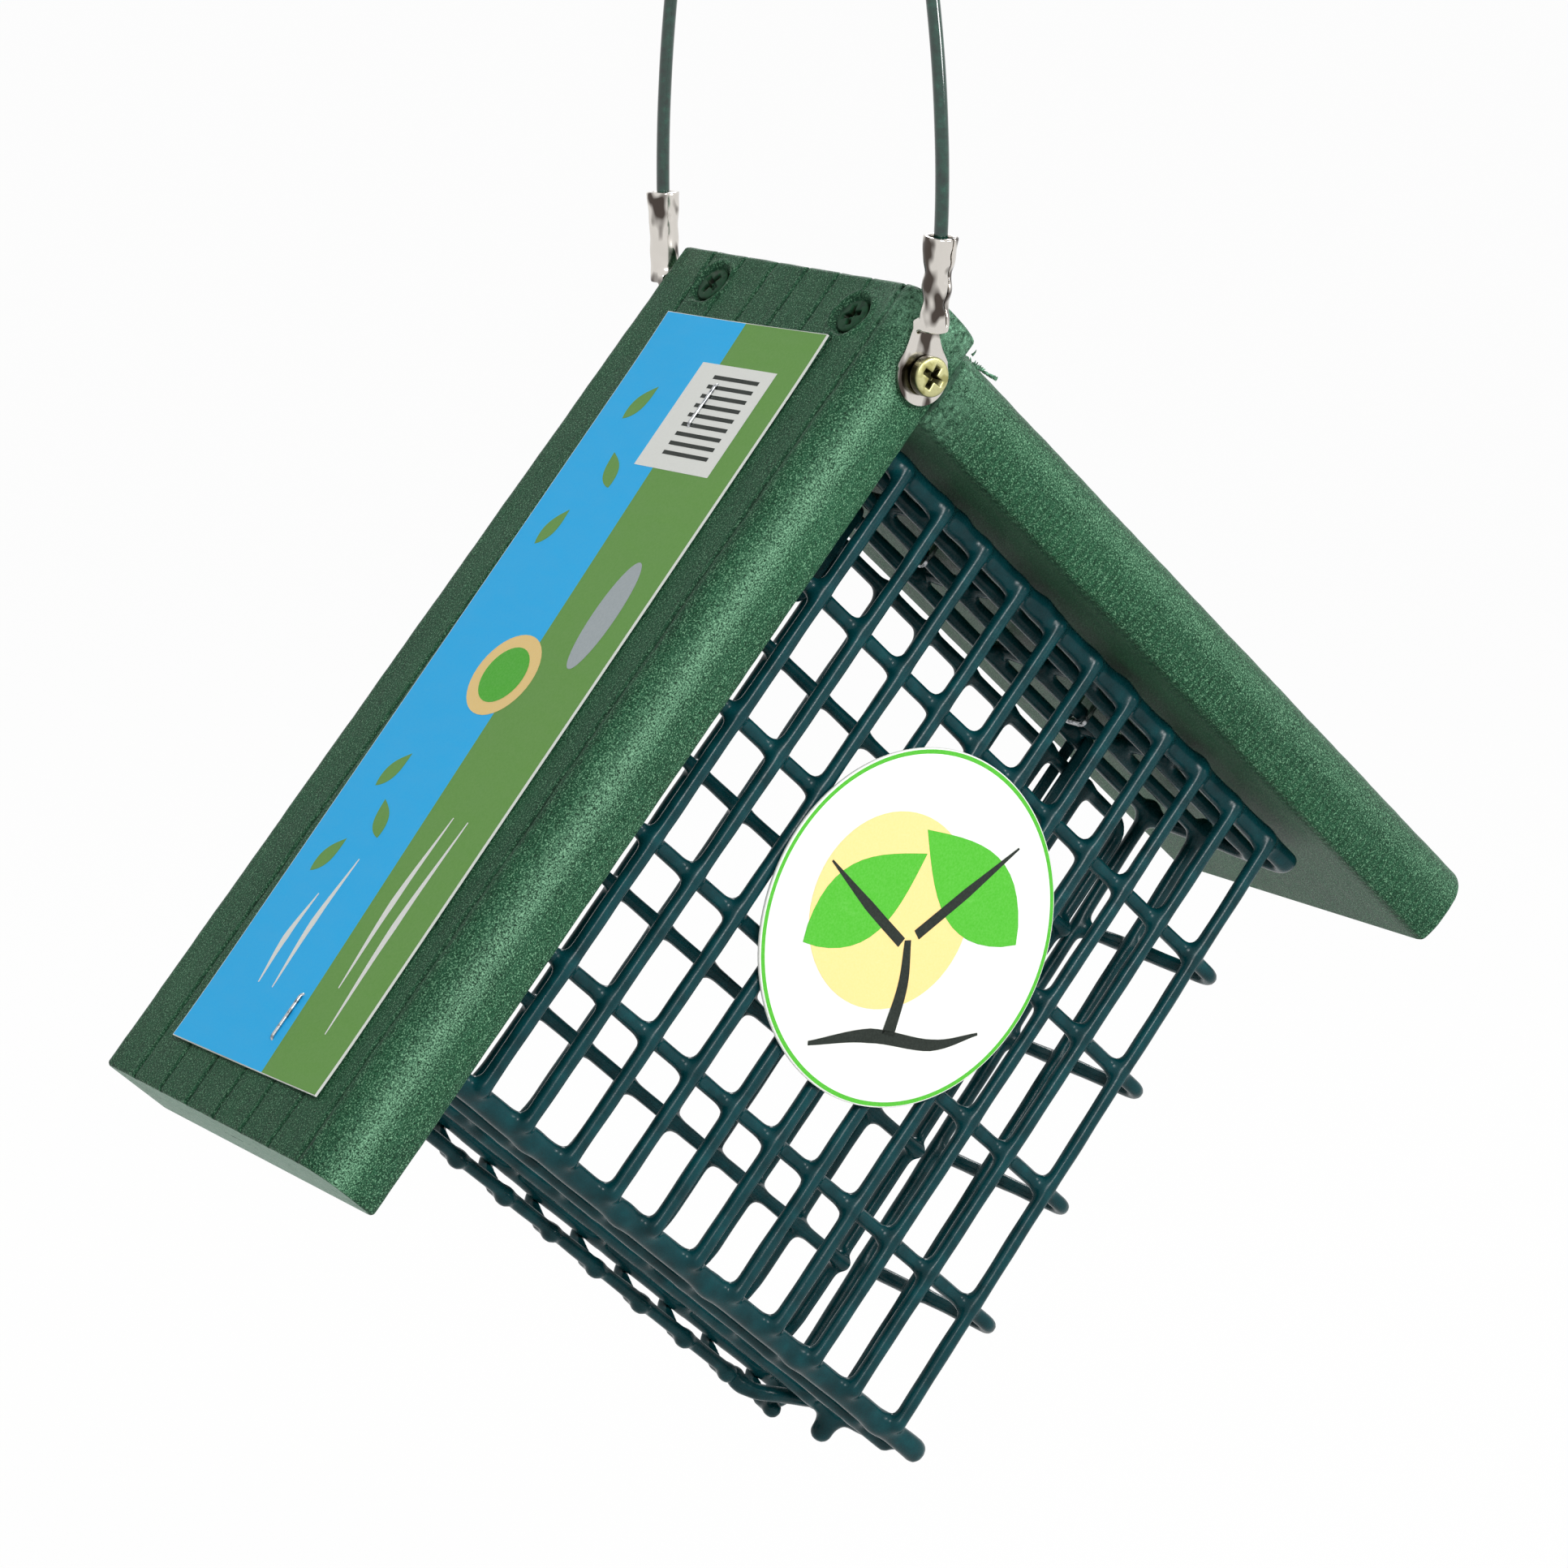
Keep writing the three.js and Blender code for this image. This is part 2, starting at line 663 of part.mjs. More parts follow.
const doorGrille = () => {
  const corner = door_corner_radius;
  const corner_z = door_top_z - corner;
  const wires = [wire([
    ...lipPlaces(door_left_x).reverse(),
    ...arcPlaces([door_left_x + corner, rim_y, corner_z], [-corner, 0, 0], [0, 0, corner]),
    ...arcPlaces([door_right_x - corner, rim_y, corner_z], [0, 0, corner], [corner, 0, 0]),
    ...lipPlaces(door_right_x),
  ])];
  for (let index = 1; index < door_wire_count - 1; index += 1) {
    const x = door_left_x + index * door_wire_pitch;
    wires.push(wire([[x, rim_y, door_top_z], ...lipPlaces(x)]));
  }
  const row_y = rim_y - weld_lap;
  for (let index = 0; index < door_row_count; index += 1) {
    const z = cage_z - door_first_row_drop - index * row_pitch;
    wires.push(wire([
      [door_left_x, row_y, z],
      [door_right_x, row_y, z],
    ]));
  }
  wires.push(wire([
    [door_left_x - wire_radius, lip_wire_y, lip_wire_z],
    [lip_wire_end_x, lip_wire_y, lip_wire_z],
  ]));
  return geometryOf(joined(wires));
};

// A flat strap that hangs on the rim's top wire and holds the door's top wire in its loop
const hinge_clip_inner = wire_radius + touch_gap;
const clip_arc_steps = 8;
const stadiumPoints = (radius, low, high) => {
  const points = [];
  for (const [middle, start] of [[high, 0], [low, Math.PI]]) {
    for (let step = 0; step <= clip_arc_steps; step += 1) {
      const angle = start + (step / clip_arc_steps) * Math.PI;
      points.push(new THREE.Vector2(radius * Math.cos(angle), middle + radius * Math.sin(angle)));
    }
  }
  return points;
};

const hingeClip = (name, share) => {
  const hinge_clip_outer = hinge_clip_inner + hinge_clip_wall;
  const tail_z = door_top_z - hinge_clip_tail;
  const shape = new THREE.Shape(stadiumPoints(hinge_clip_outer, tail_z, top_wire_z));
  const hole = stadiumPoints(hinge_clip_inner, tail_z, top_wire_z).reverse();
  shape.holes.push(new THREE.Path(hole));
  const geometry = new THREE.ExtrudeGeometry(shape, { depth: hinge_clip_width, bevelEnabled: false });
  // The section's x turns to y, its y to z and its depth to x
  geometry.applyMatrix4(new THREE.Matrix4().makeBasis(
    new THREE.Vector3(0, 1, 0),
    new THREE.Vector3(0, 0, 1),
    new THREE.Vector3(1, 0, 0),
  ));
  const clip = named(name, geometry, cage_finish);
  clip.position.set(cage_x + share * cage_width, rim_y, 0);
  return clip;
};

// The lip wire's free end, which springs up behind the cage's lower wires
const latchFinger = () => {
  const finger = named("door_latch_finger", wire(finger_shares.map(([across, up, forward]) => [
    across * finger_reach,
    -forward * finger_forward,
    up * finger_rise,
  ])), cage_finish);
  finger.position.set(lip_wire_end_x + touch_gap, lip_wire_y, lip_wire_z);
  return finger;
};

// A staple drawn with its legs along +z and its crown along x, the crown's underside at z = 0
const stapleGeometry = (size, spread, legLength) => {
  const half = size / 2;
  return geometryOf(joined([
    box([-spread - half, -half, -size], [spread + half, half, 0]),
    box([-spread - half, -half, -half], [-spread + half, half, legLength]),
    box([spread - half, -half, -half], [spread + half, half, legLength]),
  ]));
};

const seat_over_wire = wire_radius + touch_gap;
const leftCageStaple = (drop, number) => {
  const crown_x = left_wire_x + seat_over_wire;
  const legs = crown_x - left_inner + cage_staple_bite;
  const geometry = stapleGeometry(cage_staple_wire, cage_staple_spread, legs);
  const staple = named(`cage_staple_left_${number}`, geometry, steel_finish);
  staple.setRotationFromMatrix(new THREE.Matrix4().makeBasis(
    new THREE.Vector3(0, 1, 0),
    new THREE.Vector3(0, 0, -1),
    new THREE.Vector3(-1, 0, 0),
  ));
  staple.position.set(crown_x, mid_y, cage_z - drop);
  return staple;
};

const rightCageStaple = (across, number) => {
  const crown_z = top_wire_z - seat_over_wire;
  const legs = right_inner - crown_z + cage_staple_bite;
  const geometry = stapleGeometry(cage_staple_wire, cage_staple_spread, legs);
  const staple = named(`cage_staple_right_${number}`, geometry, steel_finish);
  staple.rotation.z = Math.PI / 2;
  staple.position.set(cage_x + across, mid_y, crown_z);
  return staple;
};

const labelCard = () => {
  const card = new THREE.BoxGeometry(label_thickness, label_width, label_length);
  card.rotateX(-label_turn);
  card.translate(label_outer_x + label_thickness / 2, front_face + label_setback, label_z);
  return named("label_card", geometryOf(cutBy(solidOf(card), labelStapleHoles())), label_finish);
};

const labelStaple = (place) => {
  const crown_x = label_outer_x - touch_gap;
  const legs = left_outer + label_staple_bite - crown_x;
  const spread = (label_staple_crown - label_staple_wire) / 2;
  const geometry = stapleGeometry(label_staple_wire, spread, legs);
  const staple = named(`label_staple_${place.name}`, geometry, steel_finish);
  staple.rotation.y = Math.PI / 2;
  staple.position.set(crown_x, place.y, place.z);
  return staple;
};

const tag_sides = 48;
const roundTag = () => {
  const tag_radius = tag_diameter / 2;
  const disc = new THREE.CylinderGeometry(tag_radius, tag_radius, tag_thickness, tag_sides);
  const tag = named("round_tag", disc, tag_finish);
  tag.position.set(
    cage_x + tag_across,
    cage_y - wire_radius - touch_gap - tag_thickness / 2,
    cage_z - tag_drop,
  );
  return tag;
};

// Assembly
const hanger = new THREE.Group();
hanger.add(
  named("hanger_cable", cableGeometry(), cable_finish),
);
const terminals = new THREE.Group();
terminals.position.z = -loop_height;
terminals.add(
  terminal("ring_terminal_front", -1, front_face, front_terminal_splay),
  terminal("ring_terminal_rear", 1, rear_face, rear_terminal_splay),
);
hanger.add(terminals);

const house = new THREE.Group();
house.position.z = -loop_height;
house.rotation.y = house_lean;
house.add(
  named("roof_board_left", leftBoard(), board_finish),
  named("roof_board_right", rightBoard(), board_finish),
  ...ridge_screw_places.map(ridgeScrew),
  hangerScrew("hanger_screw_front", -1, front_face),
  hangerScrew("hanger_screw_rear", 1, rear_face),
  named("cage_front_grille", frontGrille(), cage_finish),
  named("cage_left_wall", sideWall(left_rung_x, left_wire_x, 0), cage_finish),
  named("cage_right_wall", sideWall(right_rung_x, right_wire_x, right_wall_toe), cage_finish),
  named("cage_top_wall", topWall(), cage_finish),
  named("cage_bottom_wall", bottomWall(), cage_finish),
  ...left_staple_drops.map((drop, index) => leftCageStaple(drop, index + 1)),
  ...right_staple_places.map((across, index) => rightCageStaple(across, index + 1)),
  labelCard(),
  ...label_staple_places.map(labelStaple),
  roundTag(),
);

const door = new THREE.Group();
door.add(
  named("door_grille", doorGrille(), cage_finish),
  ...hinge_clip_shares.map((share, index) => hingeClip(`door_hinge_clip_${index + 1}`, share)),
  latchFinger(),
);
house.add(door);

const feeder = new THREE.Group();
feeder.add(hanger, house);

export default feeder;
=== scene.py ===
import itertools
import json
import math

import bpy
import numpy as np
from mathutils import Matrix, Vector


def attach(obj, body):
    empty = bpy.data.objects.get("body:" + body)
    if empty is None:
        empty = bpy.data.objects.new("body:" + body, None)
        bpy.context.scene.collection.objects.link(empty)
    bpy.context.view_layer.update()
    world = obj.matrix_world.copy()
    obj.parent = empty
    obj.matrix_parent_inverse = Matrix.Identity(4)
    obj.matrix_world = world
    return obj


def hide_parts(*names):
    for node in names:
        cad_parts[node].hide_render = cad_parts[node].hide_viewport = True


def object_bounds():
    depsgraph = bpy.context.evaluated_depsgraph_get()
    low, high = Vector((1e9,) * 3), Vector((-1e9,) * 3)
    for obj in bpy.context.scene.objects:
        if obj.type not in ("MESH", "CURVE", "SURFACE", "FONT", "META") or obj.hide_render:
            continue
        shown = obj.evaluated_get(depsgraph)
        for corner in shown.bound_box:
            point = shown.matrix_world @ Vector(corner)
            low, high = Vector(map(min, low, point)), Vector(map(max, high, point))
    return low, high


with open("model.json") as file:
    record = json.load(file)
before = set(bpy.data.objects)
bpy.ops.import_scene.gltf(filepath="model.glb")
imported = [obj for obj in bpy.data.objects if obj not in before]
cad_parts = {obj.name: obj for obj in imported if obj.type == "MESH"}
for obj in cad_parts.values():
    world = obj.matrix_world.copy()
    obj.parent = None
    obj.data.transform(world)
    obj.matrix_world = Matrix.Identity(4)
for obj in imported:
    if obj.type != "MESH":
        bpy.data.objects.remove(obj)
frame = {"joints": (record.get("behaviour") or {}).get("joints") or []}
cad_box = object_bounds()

# Looks of a hanging suet feeder: a dipped wire cage with a rear door under a peaked
# roof of two recycled plastic boards, on a cable loop. Lengths are in millimetres and
# are turned to metres where a mesh, a curve or a light is made.
mm = 0.001

# Frame: the house is drawn square to its boards, about the hanger screws' axis
joints = {joint["name"]: joint for joint in frame["joints"]}
pivot = Vector(joints["house_swing"]["pos_m"])
across_axis = Vector(joints["door_swing"]["axis"])
house_lean = math.atan2(-across_axis.z, across_axis.x)
house_matrix = Matrix.Translation(pivot) @ Matrix.Rotation(house_lean, 4, "Y")
upright_matrix = Matrix.Translation(pivot)

# Camera: at the photograph's place, with no roll
camera_place = Vector((-0.44797, -0.62673, -0.01105))
camera_pitch = math.radians(76.533)
camera_turn = math.radians(-35.381)
camera_lens_mm = 103.19
sensor_mm = 36

camera_data = bpy.data.cameras.new("camera")
camera_data.lens = camera_lens_mm
camera_data.sensor_width = sensor_mm
camera_data.sensor_fit = "HORIZONTAL"
camera_data.clip_start = 0.01
camera_data.clip_end = 50
camera = bpy.data.objects.new("camera", camera_data)
camera.location = camera_place
camera.rotation_euler = (camera_pitch, 0, camera_turn)
bpy.context.scene.collection.objects.link(camera)
bpy.context.scene.camera = camera


# Materials
def linear(code):
    """Linear colour of a code such as #27402f."""
    parts = [int(code[i:i + 2], 16) / 255 for i in (1, 3, 5)]
    return (*[p / 12.92 if p <= 0.04045 else ((p + 0.055) / 1.055) ** 2.4 for p in parts], 1)


class Paint:
    """A material with a principled surface, and the nodes that feed it."""

    def __init__(self, name, color, roughness, metallic=0):
        self.material = bpy.data.materials.new(name)
        self.material.use_nodes = True
        self.tree = self.material.node_tree
        self.surface = self.tree.nodes["Principled BSDF"]
        self.set("Base Color", linear(color))
        self.set("Roughness", roughness)
        self.set("Metallic", metallic)

    def set(self, socket_name, value):
        self.feed(self.surface.inputs[socket_name], value)

    def feed(self, socket, value):
        if isinstance(value, bpy.types.NodeSocket):
            self.tree.links.new(value, socket)
        else:
            socket.default_value = value

    def node(self, kind, inputs=None, **settings):
        node = self.tree.nodes.new(f"ShaderNode{kind}")
        for key, value in settings.items():
            setattr(node, key, value)
        for key, value in (inputs or {}).items():
            self.feed(node.inputs[key], value)
        return node

    def places(self, stretch=(1, 1, 1)):
        """Places on the piece in millimetres, squeezed or stretched along its own axes."""
        source = self.node("Attribute", attribute_name="place").outputs["Vector"]
        return self.node("Mapping", {"Vector": source, "Scale": stretch}).outputs["Vector"]

    def attribute(self, name):
        return self.node("Attribute", attribute_name=name).outputs["Fac"]

    def noise(self, vector, scale, detail=3, roughness=0.55):
        inputs = {"Vector": vector, "Scale": scale, "Detail": detail, "Roughness": roughness}
        return self.node("TexNoise", inputs).outputs["Fac"]

    def ramp(self, factor, stops):
        """Colours or greys at given places along a factor."""
        node = self.node("ValToRGB", {"Fac": factor})
        elements = node.color_ramp.elements
        while len(elements) < len(stops):
            elements.new(0.5)
        for element, (place, color) in zip(elements, stops):
            element.position = place
            element.color = linear(color) if isinstance(color, str) else (color, color, color, 1)
        return node.outputs["Color"]

    def range(self, value, low, high, to_low=0, to_high=1):
        limits = {"From Min": low, "From Max": high, "To Min": to_low, "To Max": to_high}
        return self.node("MapRange", {"Value": value, **limits}).outputs["Result"]

    def times(self, first, second):
        return self.node("Math", {0: first, 1: second}, operation="MULTIPLY").outputs[0]

    def mix(self, factor, first, second):
        first, second = [linear(c) if isinstance(c, str) else c for c in (first, second)]
        return self.node("Mix", {0: factor, 6: first, 7: second}, data_type="RGBA").outputs[2]

    def bump(self, height, distance_mm, strength=1.0, normal=None):
        inputs = {"Height": height, "Distance": distance_mm * mm, "Strength": strength}
        if normal is not None:
            inputs["Normal"] = normal
        return self.node("Bump", inputs).outputs["Normal"]


def board_paint():
    """Recycled plastic: dark green, grainy, with paler specks and sawn ends, a painted highlight along
    the crown of the front edge, and painted shade in the grooves, the screws' dishes and the chatter
    marks.
    """
    paint = Paint("recycled_plastic", "#274a36", 0.5)
    long = paint.places((0.22, 1, 1))
    even = paint.places()
    patches = paint.noise(long, 0.16, 4)
    grain = paint.noise(long, 2.2, 4, 0.7)
    fine = paint.noise(even, 3.6, 2, 0.7)
    body = paint.ramp(patches, [(0.3, "#16402a"), (0.7, "#215236")])
    body = paint.mix(paint.range(grain, 0.42, 0.66, 0, 0.55), body, "#33654a")
    specks = paint.range(fine, 0.55, 0.66)
    crown = paint.attribute("crown")
    body = paint.mix(paint.times(specks, 0.6), body, "#93c8a0")
    # Painted highlight: a paler, speckled band along the crown of the front edge stands in for its
    # satin sheen
    crown_highlight = paint.times(crown, paint.range(fine, 0.4, 0.6, 0, 0.62))
    body = paint.mix(crown_highlight, body, "#86b795")
    pits = paint.range(fine, 0.47, 0.36)
    body = paint.mix(paint.times(pits, 0.8), body, "#081a10")
    sawn = paint.attribute("sawn")
    streaks = paint.noise(paint.places((1, 0.3, 1)), 1.3, 4, 0.7)
    sawn_color = paint.ramp(streaks, [(0.25, "#5d8470"), (0.6, "#83a894"), (0.85, "#b4cfc0")])
    body = paint.mix(paint.times(sawn, 0.75), body, sawn_color)
    # Painted shade: the grooves, and a ring round each screw's dish, are darkened nearly to black
    body = paint.mix(paint.attribute("groove"), body, "#040c08")
    chewed = paint.range(paint.noise(even, 0.9, 5, 0.75), 0.36, 0.6)
    chewed = paint.times(paint.attribute("burr"), chewed)
    body = paint.mix(chewed, body, "#86bf9c")
    # Chatter marks of the planer, on the inner half of the front edge: ripples in the bump, with darker
    # bands painted over them as shade
    chatter = paint.node("TexWave", {
        "Vector": paint.places((1, 0.16, 0.3)),
        "Scale": 0.19,
        "Distortion": 1.1,
        "Detail": 1,
        "Detail Scale": 0.6,
    }, wave_type="BANDS", bands_direction="X").outputs["Fac"]
    chatter = paint.times(chatter, paint.attribute("chatter"))
    body = paint.mix(paint.times(chatter, 0.4), body, "#0e2a1b")
    paint.set("Base Color", body)
    paint.set("Roughness", paint.range(grain, 0.3, 0.7, 0.28, 0.48))
    paint.set("Specular IOR Level", 0.09)
    normal = paint.bump(chatter, 0.08, 0.7)
    normal = paint.bump(grain, 0.18, 0.7, normal)
    normal = paint.bump(fine, 0.14, 0.9, normal)
    normal = paint.bump(chewed, 0.5, 0.8, normal)
    paint.set("Normal", normal)
    return paint.material


def coat_paint():
    """Glossy dark teal dip coating with faint sags."""
    paint = Paint("dip_coat", "#0d3a38", 0.2)
    sags = paint.noise(paint.places(), 0.28, 3, 0.5)
    dust = paint.noise(paint.places(), 2.4, 2, 0.6)
    body = paint.ramp(sags, [(0.25, "#042a2e"), (0.6, "#073a3f"), (0.85, "#0a484c")])
    paint.set("Base Color", body)
    paint.set("Roughness", paint.range(dust, 0.3, 0.75, 0.2, 0.34))
    paint.set("Specular IOR Level", 0.16)
    normal = paint.bump(sags, 0.12, 0.35)
    paint.set("Normal", paint.bump(dust, 0.03, 0.3, normal))
    return paint.material


def cable_paint():
    """Glossy dark green vinyl, uneven where the strand shows through."""
    paint = Paint("cable_vinyl", "#123f30", 0.22)
    turns = paint.noise(paint.places(), 0.6, 3, 0.6)
    body = paint.ramp(turns, [(0.3, "#05201a"), (0.6, "#0c3a2e"), (0.85, "#195846")])
    paint.set("Base Color", body)
    paint.set("Roughness", paint.range(turns, 0.3, 0.8, 0.1, 0.2))
    paint.set("Coat Weight", 0.6)
    paint.set("Coat Roughness", 0.05)
    paint.set("Normal", paint.bump(turns, 0.05, 0.3))
    return paint.material


def metal_paint(name, dark, pale, roughness, scale, bump_mm, top=None, metallic=1, specular=0.5):
    """Plated metal with patches of tarnish and painted dark reflection, scratches and dents; painted
    shade below the top of a screw's head.
    """
    paint = Paint(name, pale, roughness, metallic)
    paint.set("Specular IOR Level", specular)
    # Darker patches in the metal's colour: partly tarnish, partly a painted reflection of dark
    # surroundings
    tarnish_and_reflection = paint.noise(paint.places((1, 1, 0.6)), scale, 1, 0.4)
    scratches = paint.noise(paint.places((1, 1, 0.12)), 7 * scale, 3, 0.7)
    body = paint.ramp(tarnish_and_reflection, [(0.38, dark), (0.5, pale)])
    # Painted shade: darker below the top of a screw's head, in its cross recess and round its side
    if top:
        height = paint.node("SeparateXYZ", {0: paint.places()}).outputs["Z"]
        shade_below_top = paint.range(height, top - 0.18, top - 0.7, 0, 0.85)
        body = paint.mix(shade_below_top, body, "#15130a")
    paint.set("Base Color", body)
    paint.set("Roughness", paint.range(scratches, 0.25, 0.8, 0.6 * roughness, 1.5 * roughness))
    normal = paint.bump(tarnish_and_reflection, bump_mm, 0.5)
    paint.set("Normal", paint.bump(scratches, bump_mm / 4, 0.4, normal))
    return paint.material


def print_paint(name, color, wear):
    """Printed card: an even ink with a faint screen and scuffs."""
    paint = Paint(name, color, 0.36)
    screen = paint.noise(paint.places(), 2.6, 2, 0.6)
    scuffs = paint.noise(paint.places((1, 0.3, 1)), 0.35, 5, 0.7)
    body = paint.mix(paint.range(screen, 0.3, 0.75, 0, 0.22), color, wear)
    body = paint.mix(paint.range(scuffs, 0.62, 0.8, 0, 0.3), body, wear)
    paint.set("Base Color", body)
    paint.set("Roughness", paint.range(scuffs, 0.3, 0.75, 0.3, 0.5))
    paint.set("Specular IOR Level", 0.2)
    paint.set("Normal", paint.bump(screen, 0.02, 0.3))
    return paint.material


# Heights of the screws' heads
hanger_head = 2.3
ridge_head = 2

plastic = board_paint()
coat = coat_paint()
vinyl = cable_paint()
tinned = metal_paint("tinned_copper", "#4c4540", "#d6d1ca", 0.16, 0.34, 0.03)
zinc = metal_paint("yellow_zinc", "#94915f", "#b6b484", 0.36, 0.5, 0.01, hanger_head)
steel = metal_paint("staple_steel", "#77797c", "#b9bbbd", 0.24, 0.8, 0.02)
painted = metal_paint(
    "painted_screw", "#12301f", "#1c432c", 0.4, 0.9, 0.05, ridge_head, metallic=0, specular=0.1,
)
card_white = print_paint("card_white", "#f4f6f1", "#e4e6df")
ink_blue = print_paint("ink_blue", "#28bcff", "#4cc8ff")
ink_olive = print_paint("ink_olive", "#679d48", "#8ab468")
ink_leaf = print_paint("ink_leaf", "#4bb52a", "#8fd876")
ink_straw = print_paint("ink_straw", "#fbd98f", "#fde5b4")
ink_dark = print_paint("ink_dark", "#1d241f", "#4a524c")
ink_silver = print_paint("ink_silver", "#aab4b8", "#cfd6d8")


# Meshes
def mesh_piece(
    name, vertices, faces, material, matrix=house_matrix, smooth=True, own_places=None,
):
    """An object at the origin, from places in millimetres in a drawing frame."""
    places = np.asarray(vertices, dtype=float)
    turn = np.array(matrix.to_3x3())
    world = places * mm @ turn.T + np.array(matrix.translation)
    faces = faces.tolist() if isinstance(faces, np.ndarray) else faces
    mesh = bpy.data.meshes.new(name)
    mesh.from_pydata(world.tolist(), [], faces)
    mesh.validate()
    mesh.materials.append(material)
    layer = mesh.attributes.new("place", "FLOAT_VECTOR", "POINT")
    own = places if own_places is None else own_places
    layer.data.foreach_set("vector", np.asarray(own, dtype=np.float32).ravel())
    mesh.polygons.foreach_set("use_smooth", [smooth] * len(mesh.polygons))
    piece = bpy.data.objects.new(name, mesh)
    bpy.context.scene.collection.objects.link(piece)
    return piece


def put_mask(piece, name, values):
    layer = piece.data.attributes.new(name, "FLOAT", "POINT")
    layer.data.foreach_set("value", np.asarray(values, dtype=np.float32))


def belongs(piece, body, slot, *nodes):
    """Says what a piece rides on and what it stands for. The slot is not used."""
    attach(piece, body)
    if nodes:
        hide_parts(*nodes)
    return piece


# Distance fields, from which welded and dipped forms are taken as one smooth skin
far = 6.0


def smooth_min(first, second, blend):
    reach = np.maximum(blend - np.abs(first - second), 0) / blend
    return np.minimum(first, second) - reach * reach * blend / 4


def smooth_max(first, second, blend):
    return -smooth_min(-first, -second, blend)


class Field:
    """Signed distances on a grid, negative inside, that forms are added to or cut from."""

    def __init__(self, low, high, step):
        self.low = np.array(low, dtype=float)
        self.step = step
        counts = np.ceil((np.array(high) - self.low) / step).astype(int) + 1
        self.values = np.full(counts, far, dtype=np.float32)

    def window(self, low, high):
        start = np.maximum(np.floor((np.array(low) - self.low) / self.step).astype(int), 0)
        stop = np.ceil((np.array(high) - self.low) / self.step).astype(int) + 1
        stop = np.minimum(stop, self.values.shape)
        axes = [self.low[i] + self.step * np.arange(start[i], stop[i]) for i in range(3)]
        return tuple(map(slice, start, stop)), np.meshgrid(*axes, indexing="ij", sparse=True)

    def add(self, low, high, distance, blend, sign=1):
        """Adds a form that fits between two corners, or with a sign of -1 cuts it."""
        pad = blend + 2 * self.step
        window, places = self.window(np.array(low) - pad, np.array(high) + pad)
        before = sign * self.values[window]
        self.values[window] = sign * smooth_min(before, distance(*places), blend)

    def cut(self, low, high, distance, blend):
        self.add(low, high, distance, blend, sign=-1)

    def wire(self, path, radius, blend):
        points = np.array(path, dtype=float)

        def distance(x, y, z):
            return np.minimum.reduce([
                segment_distance(x, y, z, start, end) for start, end in zip(points, points[1:])
            ]) - radius

        self.add(points.min(0) - radius, points.max(0) + radius, distance, blend)

    def skin(self):
        """Vertices and quads of the level zero, drawn onto it along the gradient."""
        inside = self.values < 0
        corner_offsets = np.array(list(itertools.product((0, 1), repeat=3)))
        shape = np.array(inside.shape) - 1
        count = np.zeros(shape, dtype=np.int8)
        for i, j, k in corner_offsets:
            count += inside[i:shape[0] + i, j:shape[1] + j, k:shape[2] + k]
        active = (count > 0) & (count < 8)
        cells = np.argwhere(active)
        numbers = np.full(shape, -1, dtype=np.int64)
        numbers[active] = np.arange(len(cells))
        values = [self.values[tuple((cells + offset).T)] for offset in corner_offsets]
        total = np.zeros((len(cells), 3))
        crossings = np.zeros(len(cells))
        for a, b in itertools.combinations(range(8), 2):
            if np.abs(corner_offsets[a] - corner_offsets[b]).sum() != 1:
                continue
            crossed = (values[a] < 0) != (values[b] < 0)
            share = np.where(crossed, values[a] / np.where(crossed, values[a] - values[b], 1), 0)
            place = corner_offsets[a] + share[:, None] * (corner_offsets[b] - corner_offsets[a])
            total += np.where(crossed[:, None], place, 0)
            crossings += crossed
        vertices = self.low + self.step * (cells + total / crossings[:, None])
        for _ in range(2):
            vertices = self.settle(vertices)
        return vertices, self.quads(inside, numbers)

    def quads(self, inside, numbers):
        faces = []
        for axis in range(3):
            first, second = (axis + 1) % 3, (axis + 2) % 3
            low = [slice(1, -1)] * 3
            high = [slice(1, -1)] * 3
            low[axis] = slice(0, -1)
            high[axis] = slice(1, None)
            start = inside[tuple(low)]
            end = inside[tuple(high)]
            for flips, crossed in ((False, start & ~end), (True, ~start & end)):
                edges = np.argwhere(crossed)
                edges[:, [first, second]] += 1
                ring = []
                for back in ((1, 1), (0, 1), (0, 0), (1, 0)):
                    cell = edges.copy()
                    cell[:, [first, second]] -= back
                    ring.append(numbers[tuple(cell.T)])
                quad = np.stack(ring, axis=1)
                faces.append(quad[:, ::-1] if flips else quad)
        return np.concatenate(faces)

    def sample(self, places):
        """Values and gradients between grid points."""
        scaled = (places - self.low) / self.step
        base = np.clip(np.floor(scaled).astype(int), 0, np.array(self.values.shape) - 2)
        part = scaled - base
        value = np.zeros(len(places))
        gradient = np.zeros((len(places), 3))
        for offset in itertools.product((0, 1), repeat=3):
            corner = self.values[tuple((base + offset).T)]
            weights = [part[:, i] if offset[i] else 1 - part[:, i] for i in range(3)]
            value += corner * weights[0] * weights[1] * weights[2]
            for i in range(3):
                others = [weights[j] for j in range(3) if j != i]
                sign = 1 if offset[i] else -1
                gradient[:, i] += sign * corner * others[0] * others[1]
        return value, gradient / self.step

    def settle(self, places):
        value, gradient = self.sample(places)
        length = np.maximum((gradient ** 2).sum(1), 0.25)
        move = np.clip(value / length, -self.step, self.step)
        return places - gradient * move[:, None]

    def piece(self, name, material, matrix=house_matrix):
        return mesh_piece(name, *self.skin(), material, matrix)


def segment_distance(x, y, z, start, end):
    run = end - start
    length = max(float(run @ run), 1e-9)
    share = ((x - start[0]) * run[0] + (y - start[1]) * run[1] + (z - start[2]) * run[2]) / length
    share = np.clip(share, 0, 1)
    return np.sqrt(
        (x - start[0] - share * run[0]) ** 2
        + (y - start[1] - share * run[1]) ** 2
        + (z - start[2] - share * run[2]) ** 2
    )


